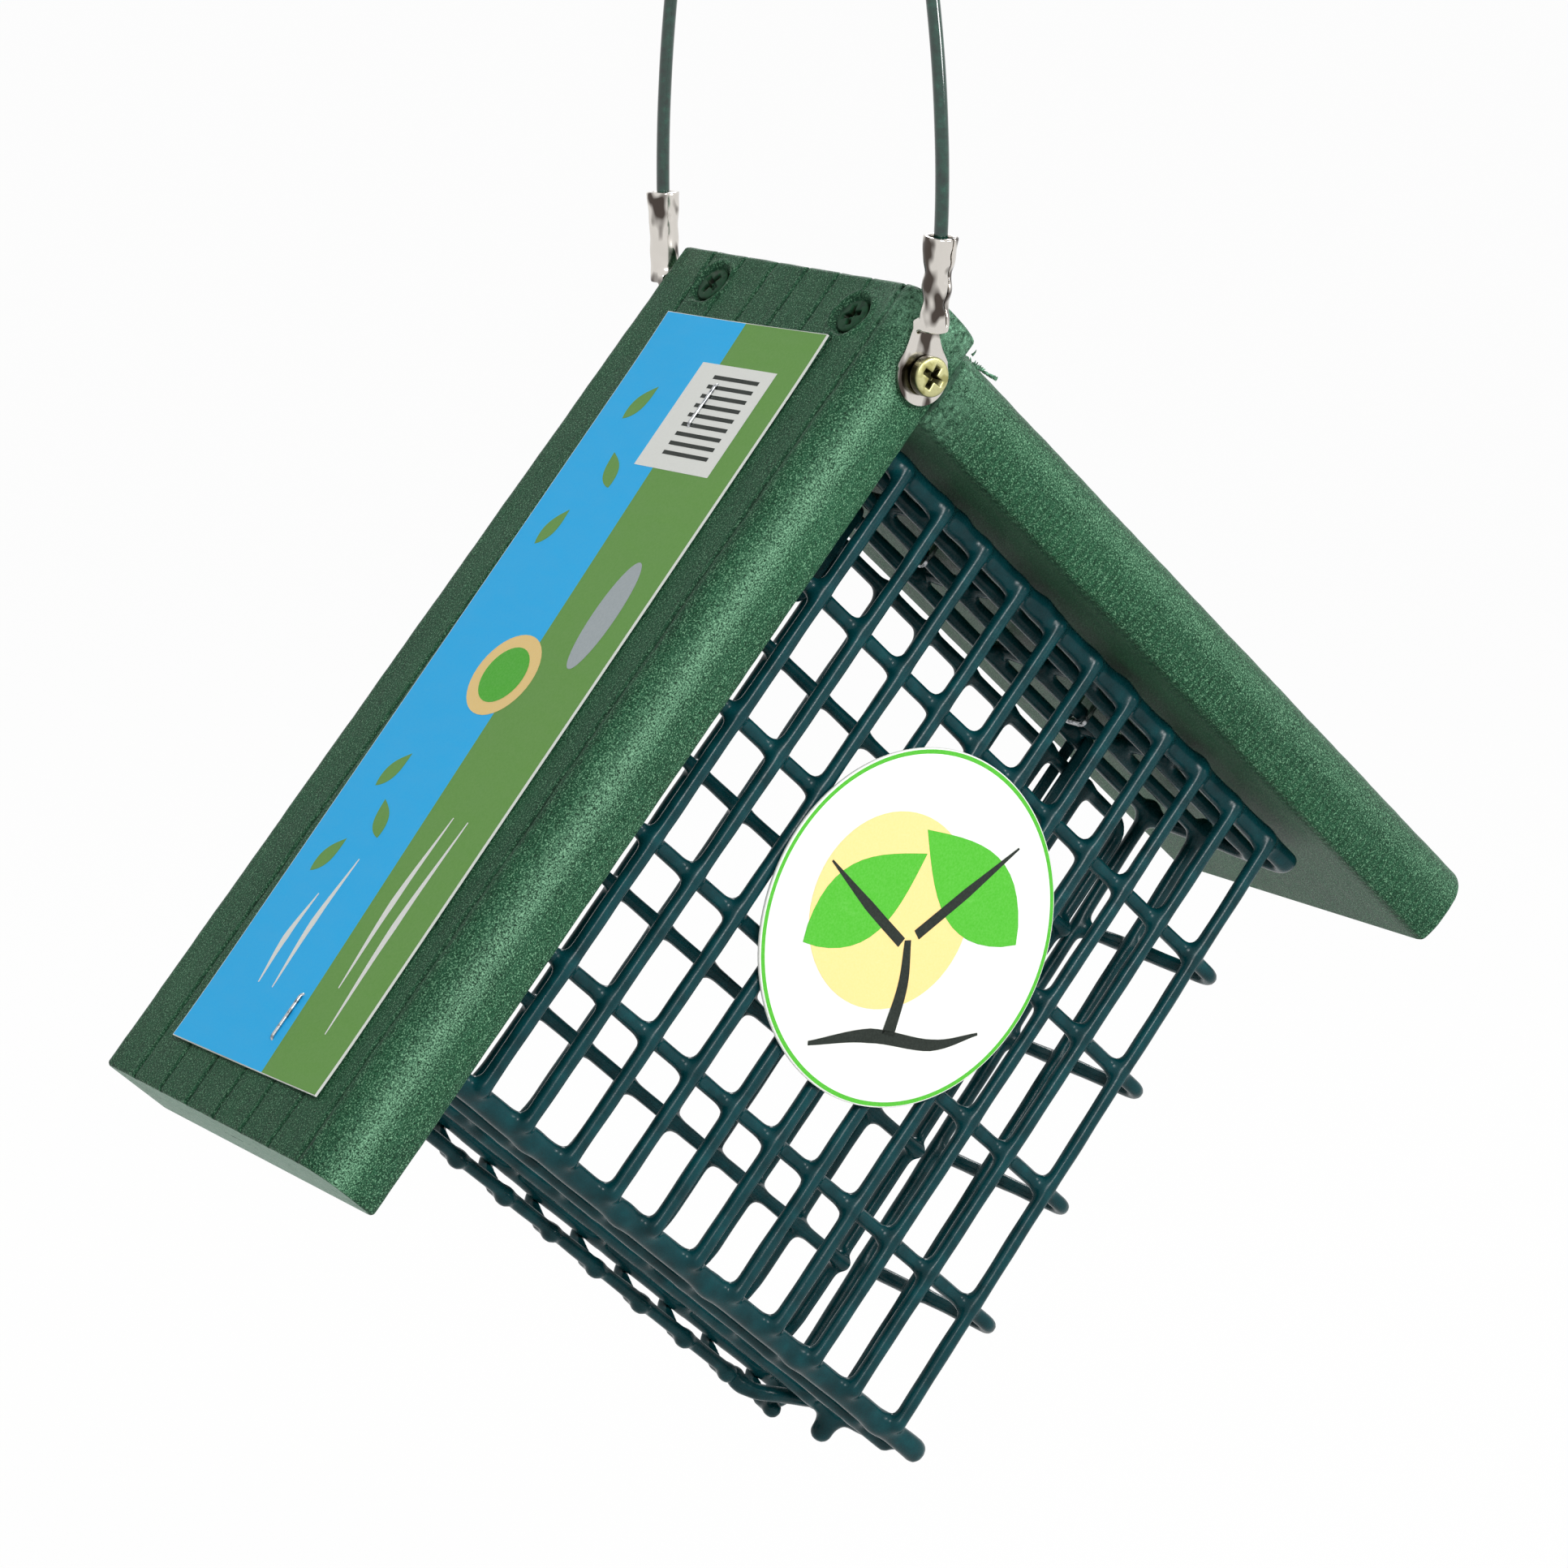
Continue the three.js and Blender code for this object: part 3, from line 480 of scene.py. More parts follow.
def arc(centre, start, end, steps=6):
    """Places along a quarter turn: a centre and two half axes."""
    centre, start, end = map(np.array, (centre, start, end))
    angles = [math.pi / 2 * step / steps for step in range(steps + 1)]
    return [centre + start * math.cos(angle) + end * math.sin(angle) for angle in angles]


def sways(x, y, z):
    """A slow uneven wave, from -1 to 1, for sags in a coat."""
    return (
        np.sin(0.31 * x + 0.57 * z + 1.3)
        + np.sin(0.83 * y - 0.44 * x + 0.21 * z)
        + np.sin(0.23 * z - 0.61 * y + 0.37 * x + 2.1)
    ) / 3


# Cable: its route repeats the solid's points, as depth and height
cable_diameter = 2.35
cable_route = [
    (-38.6, -109.6), (-39.45, -102.8), (-40.35, -95.0), (-40.6, -86.8), (-40.3, -78.4),
    (-39.4, -68.2), (-37.7, -57.2), (-35.4, -46.3), (-32.6, -37.2), (-28.5, -26.8),
    (-23.8, -17.6), (-18.5, -9.8), (-12.7, -3.9), (-6.5, -0.1), (0, 1.18),
    (6.5, -0.1), (12.7, -3.9), (18.5, -9.8), (23.8, -17.6), (28.5, -26.8),
    (32.6, -37.2), (35.4, -46.3), (37.8, -57.2), (39.6, -68.2), (40.7, -78.4),
    (41.2, -86.8), (41.3, -95.0), (41.07, -102.8), (40.84, -109.6),
]


def smooth_line(points, steps=8):
    """Places along a curve through all the points, the ends included."""
    padded = [2 * points[0] - points[1], *points, 2 * points[-1] - points[-2]]
    places = []
    for before, start, end, after in zip(padded, padded[1:], padded[2:], padded[3:]):
        for step in range(steps):
            t = step / steps
            places.append(0.5 * (
                2 * start
                + (end - before) * t
                + (2 * before - 5 * start + 4 * end - after) * t**2
                + (3 * start - before - 3 * end + after) * t**3
            ))
    return [*places, points[-1]]


def tube(path, radius, sides):
    """Vertices and faces of a round rod along a path, closed by caps."""
    points = np.array(path, dtype=float)
    tangents = np.gradient(points, axis=0)
    tangents /= np.linalg.norm(tangents, axis=1)[:, None]
    side = np.cross(tangents[0], (1, 0, 0) if abs(tangents[0][0]) < 0.9 else (0, 1, 0))
    vertices = []
    for point, tangent in zip(points, tangents):
        side = side - tangent * (side @ tangent)
        side /= np.linalg.norm(side)
        other = np.cross(tangent, side)
        for number in range(sides):
            angle = 2 * math.pi * number / sides
            vertices.append(point + radius * (side * math.cos(angle) + other * math.sin(angle)))
    faces = []
    for ring in range(len(points) - 1):
        for number in range(sides):
            a = ring * sides + number
            b = ring * sides + (number + 1) % sides
            faces.append([a, b, b + sides, a + sides])
    faces.append(list(range(sides))[::-1])
    faces.append(list(range(len(vertices) - sides, len(vertices))))
    return vertices, faces


def make_cable():
    route = smooth_line([np.array((0, y, z)) for y, z in cable_route])
    vertices, faces = tube(route, cable_diameter / 2, 20)
    cable = mesh_piece("hanger_cable_coat", vertices, faces, vinyl, Matrix())
    belongs(cable, "hanger", "cable", "hanger_cable")


make_cable()

# Driving sizes of the house, as in the solids, from the hanger screws' axis: x across
# along the right board, y in depth, z up along the left board
board_thickness = 15.3
board_width = 72.5
front_face = -34.8
rear_face = front_face + board_width
left_board_length = 177.5
right_board_length = 161.2
left_outer = -8.4
left_inner = left_outer + board_thickness
left_top = 12
right_outer = 10.1
right_inner = right_outer - board_thickness
right_start = left_inner + 0.05
ridge_screws = [(-20.1, 4.2), (22.5, 5.4)]
groove_places = [front_face + 6.5 + 9.25 * number for number in range(7)]

# Board stock: a crowned front edge, a rounded outer corner and a grooved outer face
edge_crown = 1.3
corner_radius = 6
rear_ease = 1.5
groove_depth = 0.55
groove_half_width = 0.5
# The front edge's crown, from the inner face and back from the front
crown_line = [
    (0, edge_crown + 1.6),
    (0.35, edge_crown + 0.3),
    (1.4, 0.75 * edge_crown),
    (3.4, 0.3 * edge_crown),
    (5.6, 0.08 * edge_crown),
    (7.6, 0),
]
# How far apart the mesh's lines are: round the section and by the ridge, and further down
ridge_grain = 0.5
length_grain = 2.2
ridge_zone = 24
# Sawn ends, and the dishes that the ridge screws' heads sit in
end_ease = 0.6
ease_depth = 0.35
ease_span = 36
saw_roughness = 0.05
cap_shares = [0.03, 0.2, 0.45, 0.7, 1]
dish_radius = 4.1
dish_depth = 1.1
dish_lip = 0.34


def board_section():
    """Points round the stock: thickness from the outer face, and depth."""
    inner = board_thickness
    crown = [np.array((inner - down, front_face + back)) for down, back in crown_line]
    points = [(inner, y) for y in np.arange(rear_face - 0.6, front_face + 4, -2.4)]
    points += [tuple(place) for place in smooth_line(crown, 4)]
    for step in range(1, 13):
        angle = math.pi / 2 * step / 12
        points.append((
            corner_radius * (1 - math.sin(angle)),
            front_face + corner_radius * (1 - math.cos(angle)),
        ))
    face = list(np.arange(front_face + corner_radius + ridge_grain, rear_face - rear_ease, ridge_grain))
    face = [y for y in face if min(abs(y - g) for g in groove_places) > groove_half_width + 0.1]
    for groove in groove_places:
        face += [groove + share * groove_half_width for share in (-1, -0.5, 0, 0.5, 1)]
    points += [(0, y) for y in sorted(y for y in face if y > front_face + corner_radius)]
    points += [
        (rear_ease * (1 - math.cos(a)), rear_face - rear_ease * (1 - math.sin(a)))
        for a in (0, math.pi / 8, math.pi / 4, 3 * math.pi / 8, math.pi / 2)
    ]
    points += [(t, rear_face) for t in np.arange(rear_ease + 1.5, inner - 0.5, 1.5)]
    points.append((inner - 0.2, rear_face - 0.05))
    return np.array(points)


def grain_waves(s, u, seed):
    """Uneven waves over a board's length and round its section, from -1 to 1."""
    return (
        np.sin(0.9 * s + 0.7 * u + seed)
        + np.sin(0.37 * s - 1.1 * u + 2.3 * seed)
        + np.sin(2.1 * s + 1.7 * u + 0.7 * seed)
    ) / 3


def board_stations(length):
    """Places along a board, close together by the ridge and at both ends."""
    near_ridge = np.arange(1.1, ridge_zone, ridge_grain)
    onward = np.arange(ridge_zone + 1, length - 1.6, length_grain)
    last = length - np.array([1.1, end_ease, 0.3, 0.1, 0])
    return np.concatenate([[0, 0.25, end_ease], near_ridge, onward, last])


def groove_marks(s, depths, seed):
    """How deep the grooves are at each place, and how far they wander sideways."""
    groove = np.zeros_like(s)
    wander = np.zeros_like(s)
    for number, middle in enumerate(groove_places):
        near = np.clip(1 - np.abs(depths - middle) / groove_half_width, 0, 1)
        uneven = np.clip(0.75 + 0.45 * grain_waves(0.8 * s, 0, seed - 2 * number), 0, 1.2)
        groove = np.maximum(groove, near * uneven)
        wander += (near > 0) * 0.28 * grain_waves(0.35 * s, 0, seed + number)
    return groove, wander


def sawn_caps(rims, first_number, seed):
    """Ends as rings that shrink to the middle line: their places and faces."""
    all_places = []
    faces = []
    start = first_number
    for rim_numbers, rim, outward in rims:
        target = rim.copy()
        reach = board_thickness / 2
        target[:, 1] = np.clip(rim[:, 1], front_face + reach, rear_face - reach)
        target[:, 2] = (rim[:, 2].min() + rim[:, 2].max()) / 2
        previous = rim_numbers
        for share in cap_shares:
            places = rim + share * (target - rim)
            rough = saw_roughness * grain_waves(places[:, 1] * 2.7, places[:, 2] * 2, seed)
            places[:, 0] += rough if outward else -rough
            numbers = np.arange(start, start + len(rim))
            start += len(rim)
            all_places.append(places)
            cap = np.stack([previous, np.roll(previous, -1), np.roll(numbers, -1), numbers], axis=1)
            faces += (cap if outward else cap[:, ::-1]).tolist()
            previous = numbers
    return all_places, faces


def make_board(name, node, length, place, seed, screws, marks):
    """Stock swept from the ridge, sawn square at both ends."""
    section = board_section()
    stations = board_stations(length)
    rows, columns = len(stations), len(section)
    s = stations[:, None] + np.zeros(columns)
    t = section[:, 0] + np.zeros((rows, 1))
    y = section[:, 1] + np.zeros((rows, 1))
    half = board_thickness / 2
    centre_y = (front_face + rear_face) / 2
    outer_face = t < 1e-6
    # The ends are eased a little all round
    from_end = np.minimum(s, length - s)
    ease = np.where(from_end < end_ease, ease_depth * (1 - from_end / end_ease) ** 2, 0)
    toward_y = np.clip((centre_y - y) / ease_span, -1, 1)
    groove, wander = groove_marks(s, section[:, 1], seed)
    groove = groove * outer_face
    y = y + wander * outer_face
    dent = groove_depth * groove
    # A screw's head sits in a dish with a raised, uneven lip
    ring = np.zeros_like(s)
    for screw_y, screw_s in screws:
        reach = np.hypot(y - screw_y, s - screw_s)
        waves = 1 + 0.35 * np.sin(5 * np.arctan2(y - screw_y, s - screw_s) + seed)
        dish = np.clip((dish_radius - reach) / 0.6, 0, 1)
        lip = np.exp(-((reach - dish_radius - 0.6) / 0.45) ** 2) * waves
        plain = 1 - np.clip(dish_radius + 1.1 - reach, 0, 1)
        dent = np.where(outer_face, dent * plain + dish_depth * dish - dish_lip * lip, dent)
        groove = groove * plain
        # The ring marks where the dish is darkened as painted shade
        ring = np.maximum(ring, outer_face * np.clip((dish_radius + 0.4 - reach) / 0.5, 0, 1))
    uneven = 0.09 * grain_waves(0.55 * s, 0.5 * y + t, seed)
    swell = np.where(t < half, uneven, -uneven) * (t < board_thickness - 0.1)
    t = t + dent + ease * np.clip((half - t) / half, -1, 1) + swell
    near_edge = np.abs(y - centre_y) > 30
    y = y + ease * toward_y + 0.5 * uneven * np.sign(y - centre_y) * near_edge
    swept = np.stack([s, y, t], axis=2).reshape(-1, 3)
    grid = np.arange(rows * columns).reshape(rows, columns)
    following = np.roll(grid, -1, axis=1)
    quads = np.stack([grid[:-1], following[:-1], following[1:], grid[1:]], axis=2)
    rims = [(grid[0], swept[grid[0]], False), (grid[-1], swept[grid[-1]], True)]
    cap_places, cap_faces = sawn_caps(rims, rows * columns, seed)
    vertices = np.concatenate([swept, *cap_places])
    added = len(vertices) - rows * columns
    sawn = np.arange(len(vertices)) >= rows * columns
    in_front = vertices[:, 1] - front_face
    corner = np.exp(-(np.maximum(in_front, 0) / 9) ** 2) * np.exp(-(vertices[:, 0] / 7) ** 2)
    # Where the chatter marks are: ripples in the bump, darkened as painted shade
    inner_half = np.clip((vertices[:, 2] - 5) / 5, 0, 1) * (in_front < 3)
    # Where the painted highlight lies: a band along the crown of the front edge
    crown = np.exp(-((vertices[:, 2] - 4.9) / 2.2) ** 2) * (in_front < 6) * ~sawn
    board = mesh_piece(
        name, place(vertices), quads.reshape(-1, 4).tolist() + cap_faces, plastic, own_places=vertices,
    )
    # The groove mask is painted shade, in the grooves and round the screws' dishes
    put_mask(board, "groove", np.pad(0.85 * groove.ravel() + 0.35 * ring.ravel(), (0, added)))
    put_mask(board, "burr", np.clip(1.4 * corner * marks["burr"], 0, 1))
    put_mask(board, "chatter", inner_half * marks["chatter"])
    put_mask(board, "crown", crown * marks["crown"])
    put_mask(board, "sawn", sawn)
    return belongs(board, "house", "board", node)


def left_place(v):
    return np.stack([left_outer + v[:, 2], v[:, 1], left_top - v[:, 0]], axis=1)


def right_place(v):
    return np.stack([right_start + v[:, 0], v[:, 1], right_outer - v[:, 2]], axis=1)


screws_on_left = [(y, left_top - z) for y, z in ridge_screws]
# Marks: how strong the torn burr, the chatter marks and the painted highlight along the crown are on
# each board
make_board(
    "left_board_stock", "roof_board_left", left_board_length, left_place, 0.4, screws_on_left,
    {"burr": 0.8, "chatter": 0.15, "crown": 1},
)
make_board(
    "right_board_stock", "roof_board_right", right_board_length, right_place, 2.9, [],
    {"burr": 0.35, "chatter": 1, "crown": 0.4},
)
# How often the golden section steps round, to scatter the fibres evenly
scatter = (0.618, 0.382)
fibre_count = 44
fibre_radius = 0.16


def make_fibres():
    """Fibres that the saw tore up where the right board starts, by its front edge."""
    vertices = []
    faces = []
    for number in range(fibre_count):
        across, back = [(number * step) % 1 for step in scatter]
        front = front_face + 1.2 + 5.5 * back
        root = np.array((right_start + 0.4 + 7 * across, front, right_outer - 0.5))
        lean = math.sin(2.4 * number)
        reach = 0.8 + 0.8 * math.cos(1.7 * number) ** 2
        line = [
            root + reach * t * np.array((0.7 * lean, -0.5 + 0.4 * t, 0.75 - 0.35 * t * abs(lean)))
            for t in np.linspace(0, 1, 6)
        ]
        places, rod_faces = tube(line, fibre_radius, 6)
        places = np.array(places).reshape(6, 6, 3)
        middles = np.array(line)[:, None]
        taper = (1.6 - 0.26 * np.arange(6))[:, None, None]
        faces += [[index + len(vertices) for index in face] for face in rod_faces]
        vertices += (middles + (places - middles) * taper).reshape(-1, 3).tolist()
    fibres = mesh_piece("right_board_fibres", vertices, faces, plastic)
    put_mask(fibres, "burr", np.ones(len(vertices)))
    belongs(fibres, "house", "board")


make_fibres()

# Cage: places and counts as in the solids
wire_radius = 1.4
weld_lap = 2.1
cage_x = left_inner + 9.9
cage_z = right_inner - 5.4
cage_y = front_face + 11.3
cross_y = cage_y + weld_lap
mid_y = cage_y + 22.7
rim_y = cage_y + 37.3
upright_pitch = 11.41
upright_count = 11
row_pitch = 25.4
row_count = 6
top_row_lift = 0.7
cage_width = upright_pitch * (upright_count - 1)
cage_height = row_pitch * (row_count - 1)
left_rung_x = cage_x - 8.4
right_rung_x = cage_x + cage_width + 9.5
left_wire_x = left_rung_x + weld_lap
rung_end_y = rim_y + 0.9
bend = 3
bottom_z = cage_z - cage_height
# The last upright's foot stands out, and so does the right wall's
last_upright_lean = 1.7
right_foot_flare = 2.6
# Long wires of the top wall, as depth and height, and the line that its rungs take. The
# door turns on the last wire
hinge_z = cage_z + 0.95
top_wires = [(cage_y + 10.4, cage_z + 0.5), (mid_y, cage_z + 0.4), (rim_y, hinge_z)]
top_edge_z = cage_z + 2
top_rung_line = [
    (cross_y, top_edge_z), (cage_y + 10.4, cage_z + 2.5), (mid_y, cage_z + 2.3),
    (rung_end_y, hinge_z + weld_lap),
]
bottom_edge_z = bottom_z - 1.3
bottom_wires = [(cage_y + 9, bottom_z - 2.2), (mid_y, bottom_z - 2.2), (rim_y, bottom_z - 2.1)]
bottom_rung_line = [(cross_y + 0.9, bottom_z - 0.9), (rung_end_y, bottom_z - 0.5)]
stub_radius = 1.55
stub_z = bottom_z - 7.3 + stub_radius
top_rung_shares = [0.145, 0.364, 0.578, 0.798]
bottom_rung_shares = [0.137, 0.353, 0.567, 0.784, 1]
coat_blend = 2.3
coat_sag = 0.07
coat_grain = 0.5


def finish_coat(field):
    window, places = field.window(field.low, field.low + field.step * np.array(field.values.shape))
    field.values[window] += coat_sag * sways(*places)


def right_wall_x(y, z):
    """Where the right wall's rungs run: it toes in towards the rim, and its foot stands out."""
    down = np.clip((cage_z - z) / cage_height, 0, 1)
    corner = right_rung_x + right_foot_flare * down**4
    middle = right_rung_x - 3.05 + 2.95 * down
    rim = right_rung_x - 4.2 + 3.2 * down
    return float(np.interp(y, (cross_y + bend, mid_y, rim_y), (corner, middle, rim)))


def right_wire_x(y, z):
    return right_wall_x(y, z) - weld_lap


def make_cage():
    field = Field(
        (left_rung_x - 4, cage_y - 4, bottom_z - 11),
        (right_rung_x + 6, rung_end_y + 4, cage_z + 8),
        coat_grain,
    )

    def coated(path, radius=wire_radius):
        field.wire(path, radius, coat_blend)

    for number in range(upright_count):
        x = cage_x + number * upright_pitch
        foot_x = x + (last_upright_lean if number == upright_count - 1 else 0)
        coated([(foot_x, cage_y, bottom_z + 0.7), (x, cage_y, cage_z + 1.2)])
    for number in range(row_count):
        z = bottom_z + (cage_z + top_row_lift - bottom_z) * (1 - number / (row_count - 1))
        end_z = bottom_edge_z if number == row_count - 1 else z
        corner_x = right_wall_x(cross_y + bend, z)
        coated([
            (left_rung_x, rung_end_y, z),
            *arc((left_rung_x + bend, cross_y + bend, z), (-bend, 0, 0), (0, -bend, 0)),
            *arc((corner_x - bend, cross_y + bend, z), (0, -bend, 0), (bend, 0, 0)),
            (right_wall_x(mid_y - 8, z), mid_y - 8, end_z),
            (right_wall_x(mid_y, z), mid_y, end_z),
            (right_wall_x(rim_y, z), rung_end_y, end_z),
        ])
    for y, foot_z, radius in ((mid_y, stub_z, stub_radius), (rim_y, bottom_z - 4, wire_radius)):
        top_z = cage_z + 2
        coated([(left_wire_x, y, foot_z), (left_wire_x, y, top_z)])
        foot = (right_wire_x(y, bottom_z), y, foot_z)
        coated([foot, (foot[0], y, bottom_z), (right_wire_x(y, top_z), y, top_z)])
        for x in (left_wire_x, foot[0]):
            coated([(x, y, foot_z), (x, y, bottom_z - 3)], radius)
    for shares, line, wires, edge_y, edge_z in (
        (top_rung_shares, top_rung_line, top_wires, cross_y, top_edge_z),
        (bottom_rung_shares, bottom_rung_line, bottom_wires, cross_y + 0.9, bottom_edge_z),
    ):
        for share in shares:
            coated([(cage_x + share * cage_width, y, z) for y, z in line])
        edge_end = right_wall_x(cross_y, edge_z) - 1
        coated([(left_rung_x + 1, edge_y, edge_z), (edge_end, edge_y, edge_z)])
        for y, z in wires:
            coated([(left_wire_x, y, z), (right_wire_x(y, z), y, z)])
    finish_coat(field)
    cage = field.piece("cage_coat", coat)
    belongs(
        cage, "house", "cage",
        "cage_front_grille", "cage_left_wall", "cage_right_wall", "cage_top_wall", "cage_bottom_wall",
    )


make_cage()

# Door, hung on two coated clips, and its flexing finger
door_radius = 1.3
door_left_x = cage_x - 0.9
door_pitch = 12.7
door_wires = 10
door_right_x = door_left_x + door_pitch * (door_wires - 1) + 0.8
door_top_z = cage_z - 4.6
door_rows = [cage_z - 28.1 - row_pitch * number for number in range(4)]
door_bend = 3.4
swell_start_z = cage_z - 116
lip_z = cage_z - 134.4
lip_clearance = 2.8
lip_bar_radius = 1.25
lip_end_y = cage_y + 28 + door_radius
lip_wire_y = cage_y + 29.6
lip_wire_z = lip_z + 0.45
tip_radius = 1.34
clip_shares = [0.17, 0.812]
clip_width = 2.8
clip_wall = 0.9
clip_tail = 11
clip_inside = wire_radius + 0.25
finger_x = door_left_x + 8 * door_pitch + 0.9
finger_radius = 1.5
finger_reach = 19.2
finger_rise = 6.2
finger_forward = 3.6
finger_shares = [
    (0, 0, 0), (0.05, 0, 0.02), (0.11, -0.07, 0.22), (0.227, -0.05, 0.65), (0.348, 0.11, 0.92),
    (0.496, 0.33, 1), (0.635, 0.52, 1), (0.783, 0.71, 1), (0.921, 0.9, 1), (1, 1.02, 1),
]


def lip_path(x):
    """An upright's lower end: it swells out, clears the rim's bottom wire and comes forward."""
    rim_wire_z = bottom_wires[-1][1]
    places = []
    for step in range(12):
        share = step / 12
        depth = rim_y + lip_clearance * (1 - math.cos(share * math.pi)) / 2
        places.append((x, depth, swell_start_z + (rim_wire_z - swell_start_z) * share))
    for degrees in (0, 20, 40, 60, 75):
        angle = math.radians(degrees)
        places.append((
            x, rim_y + lip_clearance * math.cos(angle), rim_wire_z - lip_clearance * math.sin(angle),
        ))
    return [*places, (x, rim_y - 3.7, lip_z + 0.6), (x, lip_end_y, lip_z)]


def make_door():
    field = Field(
        (door_left_x - 5, cage_y + 22, lip_z - 4),
        (door_right_x + 5, rim_y + 9, door_top_z + 5),
        coat_grain,
    )
    corner_z = door_top_z - door_bend
    field.wire([
        *lip_path(door_left_x)[::-1],
        *arc((door_left_x + door_bend, rim_y, corner_z), (-door_bend, 0, 0), (0, 0, door_bend)),
        *arc((door_right_x - door_bend, rim_y, corner_z), (0, 0, door_bend), (door_bend, 0, 0)),
        *lip_path(door_right_x),
    ], door_radius, coat_blend)
    for number in range(1, door_wires - 1):
        x = door_left_x + number * door_pitch
        field.wire([(x, rim_y, door_top_z), *lip_path(x)], door_radius, coat_blend)
    for z in door_rows:
        row_y = rim_y - weld_lap
        field.wire([(door_left_x, row_y, z), (door_right_x, row_y, z)], door_radius, coat_blend)
    field.wire([
        (door_left_x, lip_wire_y, lip_wire_z), (finger_x - 0.4, lip_wire_y, lip_wire_z),
    ], lip_bar_radius, 1.2)
    # The coat gathers in drops at the ends of the uprights
    for number in range(door_wires):
        x = door_left_x + number * door_pitch if number < door_wires - 1 else door_right_x
        tip = np.array((x, lip_end_y, lip_z - 0.05))
        field.wire([tip, tip + (0, 0.2, 0)], tip_radius, 1.2)
    finish_coat(field)
    belongs(field.piece("door_coat", coat), "door", "cage", "door_grille")


def make_clip(number, share):
    middle_x = cage_x + share * cage_width + clip_width / 2
    tail_z = door_top_z - clip_tail
    half_span = (hinge_z - tail_z) / 2
    middle_z = (hinge_z + tail_z) / 2
    radius = clip_inside + clip_wall / 2
    low = (middle_x - clip_width / 2 - 1, rim_y - radius - 2, tail_z - radius - 2)
    high = (middle_x + clip_width / 2 + 1, rim_y + radius + 2, hinge_z + radius + 2)
    field = Field(low, high, 0.2)

    def strap(x, y, z):
        above = np.maximum(np.abs(z - middle_z) - half_span, 0)
        wall = np.abs(np.hypot(y - rim_y, above) - radius) - clip_wall / 2
        side = np.abs(x - middle_x) - clip_width / 2
        return smooth_max(wall + 0 * side, side + 0 * wall, 0.7)

    field.add(low, high, strap, 0.3)
    clip = field.piece(f"door_clip_coat_{number}", coat)
    belongs(clip, "door", "cage", f"door_hinge_clip_{number}")


def make_finger():
    root = np.array((finger_x, lip_wire_y, lip_wire_z))
    reach = np.array((finger_reach, -finger_forward, finger_rise))
    shares = [np.array((across, forward, up)) for across, up, forward in finger_shares]
    path = [root + share * reach for share in smooth_line(shares, 4)]
    field = Field(root - (4, 7, 4), root + (finger_reach + 4, 4, finger_rise + 4), 0.3)
    field.wire(path[:10], lip_bar_radius, 0.5)
    field.wire(path[4:], finger_radius, 1.5)
    belongs(field.piece("finger_coat", coat), "latch", "cage", "door_latch_finger")


make_door()
for number, share in enumerate(clip_shares):
    make_clip(number + 1, share)
make_finger()


# Screws: pan heads with a cross recess that narrows inward
def round_box(distances, radius):
    """Distance to a box with rounded edges, from how far a place is past each pair of faces."""
    past = np.broadcast_arrays(*[d + radius for d in distances])
    outside = np.sqrt(sum(np.maximum(d, 0) ** 2 for d in past))
    return outside + np.minimum(np.maximum.reduce(past), 0) - radius


head_edge = 0.4
shank_radius = 1.6
recess_span = 4.5
recess_width = 1.15
recess_depth = 1.7


def screw_field(head_diameter, head_height, dome, shank_length):
    """A screw along -z, the underside of its head at z = 0."""
    radius = head_diameter / 2
    low = (-radius - 0.6, -radius - 0.6, -shank_length - 0.5)
    high = (radius + 0.6, radius + 0.6, head_height + 0.8)
    field = Field(low, high, 0.14)

    def head(x, y, z):
        across = np.hypot(x, y)
        top = head_height - dome * (across / radius) ** 2
        return round_box([across - radius, np.abs(z - top / 2) - top / 2], head_edge)

    def shank(x, y, z):
        half = shank_length / 2
        return round_box([np.hypot(x, y) - shank_radius, np.abs(z + half) - half], 0.2)

    def recess(x, y, z):
        depth = head_height - z
        taper = np.clip(depth / recess_depth, 0, 1)
        span = recess_span / 2 * (1 - 0.55 * taper)
        width = recess_width / 2 * (1 - 0.35 * taper)
        first = np.maximum(np.abs(x) - span, np.abs(y) - width)
        second = np.maximum(np.abs(y) - span, np.abs(x) - width)
        return np.maximum(smooth_min(first, second, 0.2), depth - recess_depth)

    field.add(low, high, shank, 0.1)
    field.add(low, high, head, 0.3)
    field.cut((-2.2, -2.2, 0), (2.2, 2.2, head_height + 0.8), recess, 0.14)
    return field


def facing(axis_z, turn, place):
    """A matrix that takes drawing z along an axis, turned about it, to a place."""
    towards = Vector(axis_z).to_track_quat("Z", "Y").to_matrix().to_4x4()
    return Matrix.Translation(Vector(place) * mm) @ towards @ Matrix.Rotation(turn, 4, "Z")


def make_screw(node, finish, material, slot, field, seat):
    screw = field.piece(f"{node}_{finish}", material, house_matrix @ seat)
    belongs(screw, "house", slot, node)


# A head stands off its board by a terminal's plate, with a gap on each side of it
terminal_gap = 0.3
plate_half = 0.5
plate_stack = 2 * (terminal_gap + plate_half)
for name, side, face, turn in (("front", -1, front_face, 0.12), ("rear", 1, rear_face, 0.7)):
    seat = facing((0, side, 0), turn, (0, face + side * plate_stack, 0))
    field = screw_field(6.8, hanger_head, 0.12, 7)
    make_screw(f"hanger_screw_{name}", "zinc", zinc, "zinc_screw", field, seat)

for name, (y, z), turn in zip(("front", "rear"), ridge_screws, (0.35, 1.1)):
    seat = facing((-1, 0, 0), turn, (left_outer + 2.0, y, z))
    field = screw_field(6.7, ridge_head, 0.25, 6)
    make_screw(f"ridge_screw_{name}", "painted", painted, "ridge_screw", field, seat)

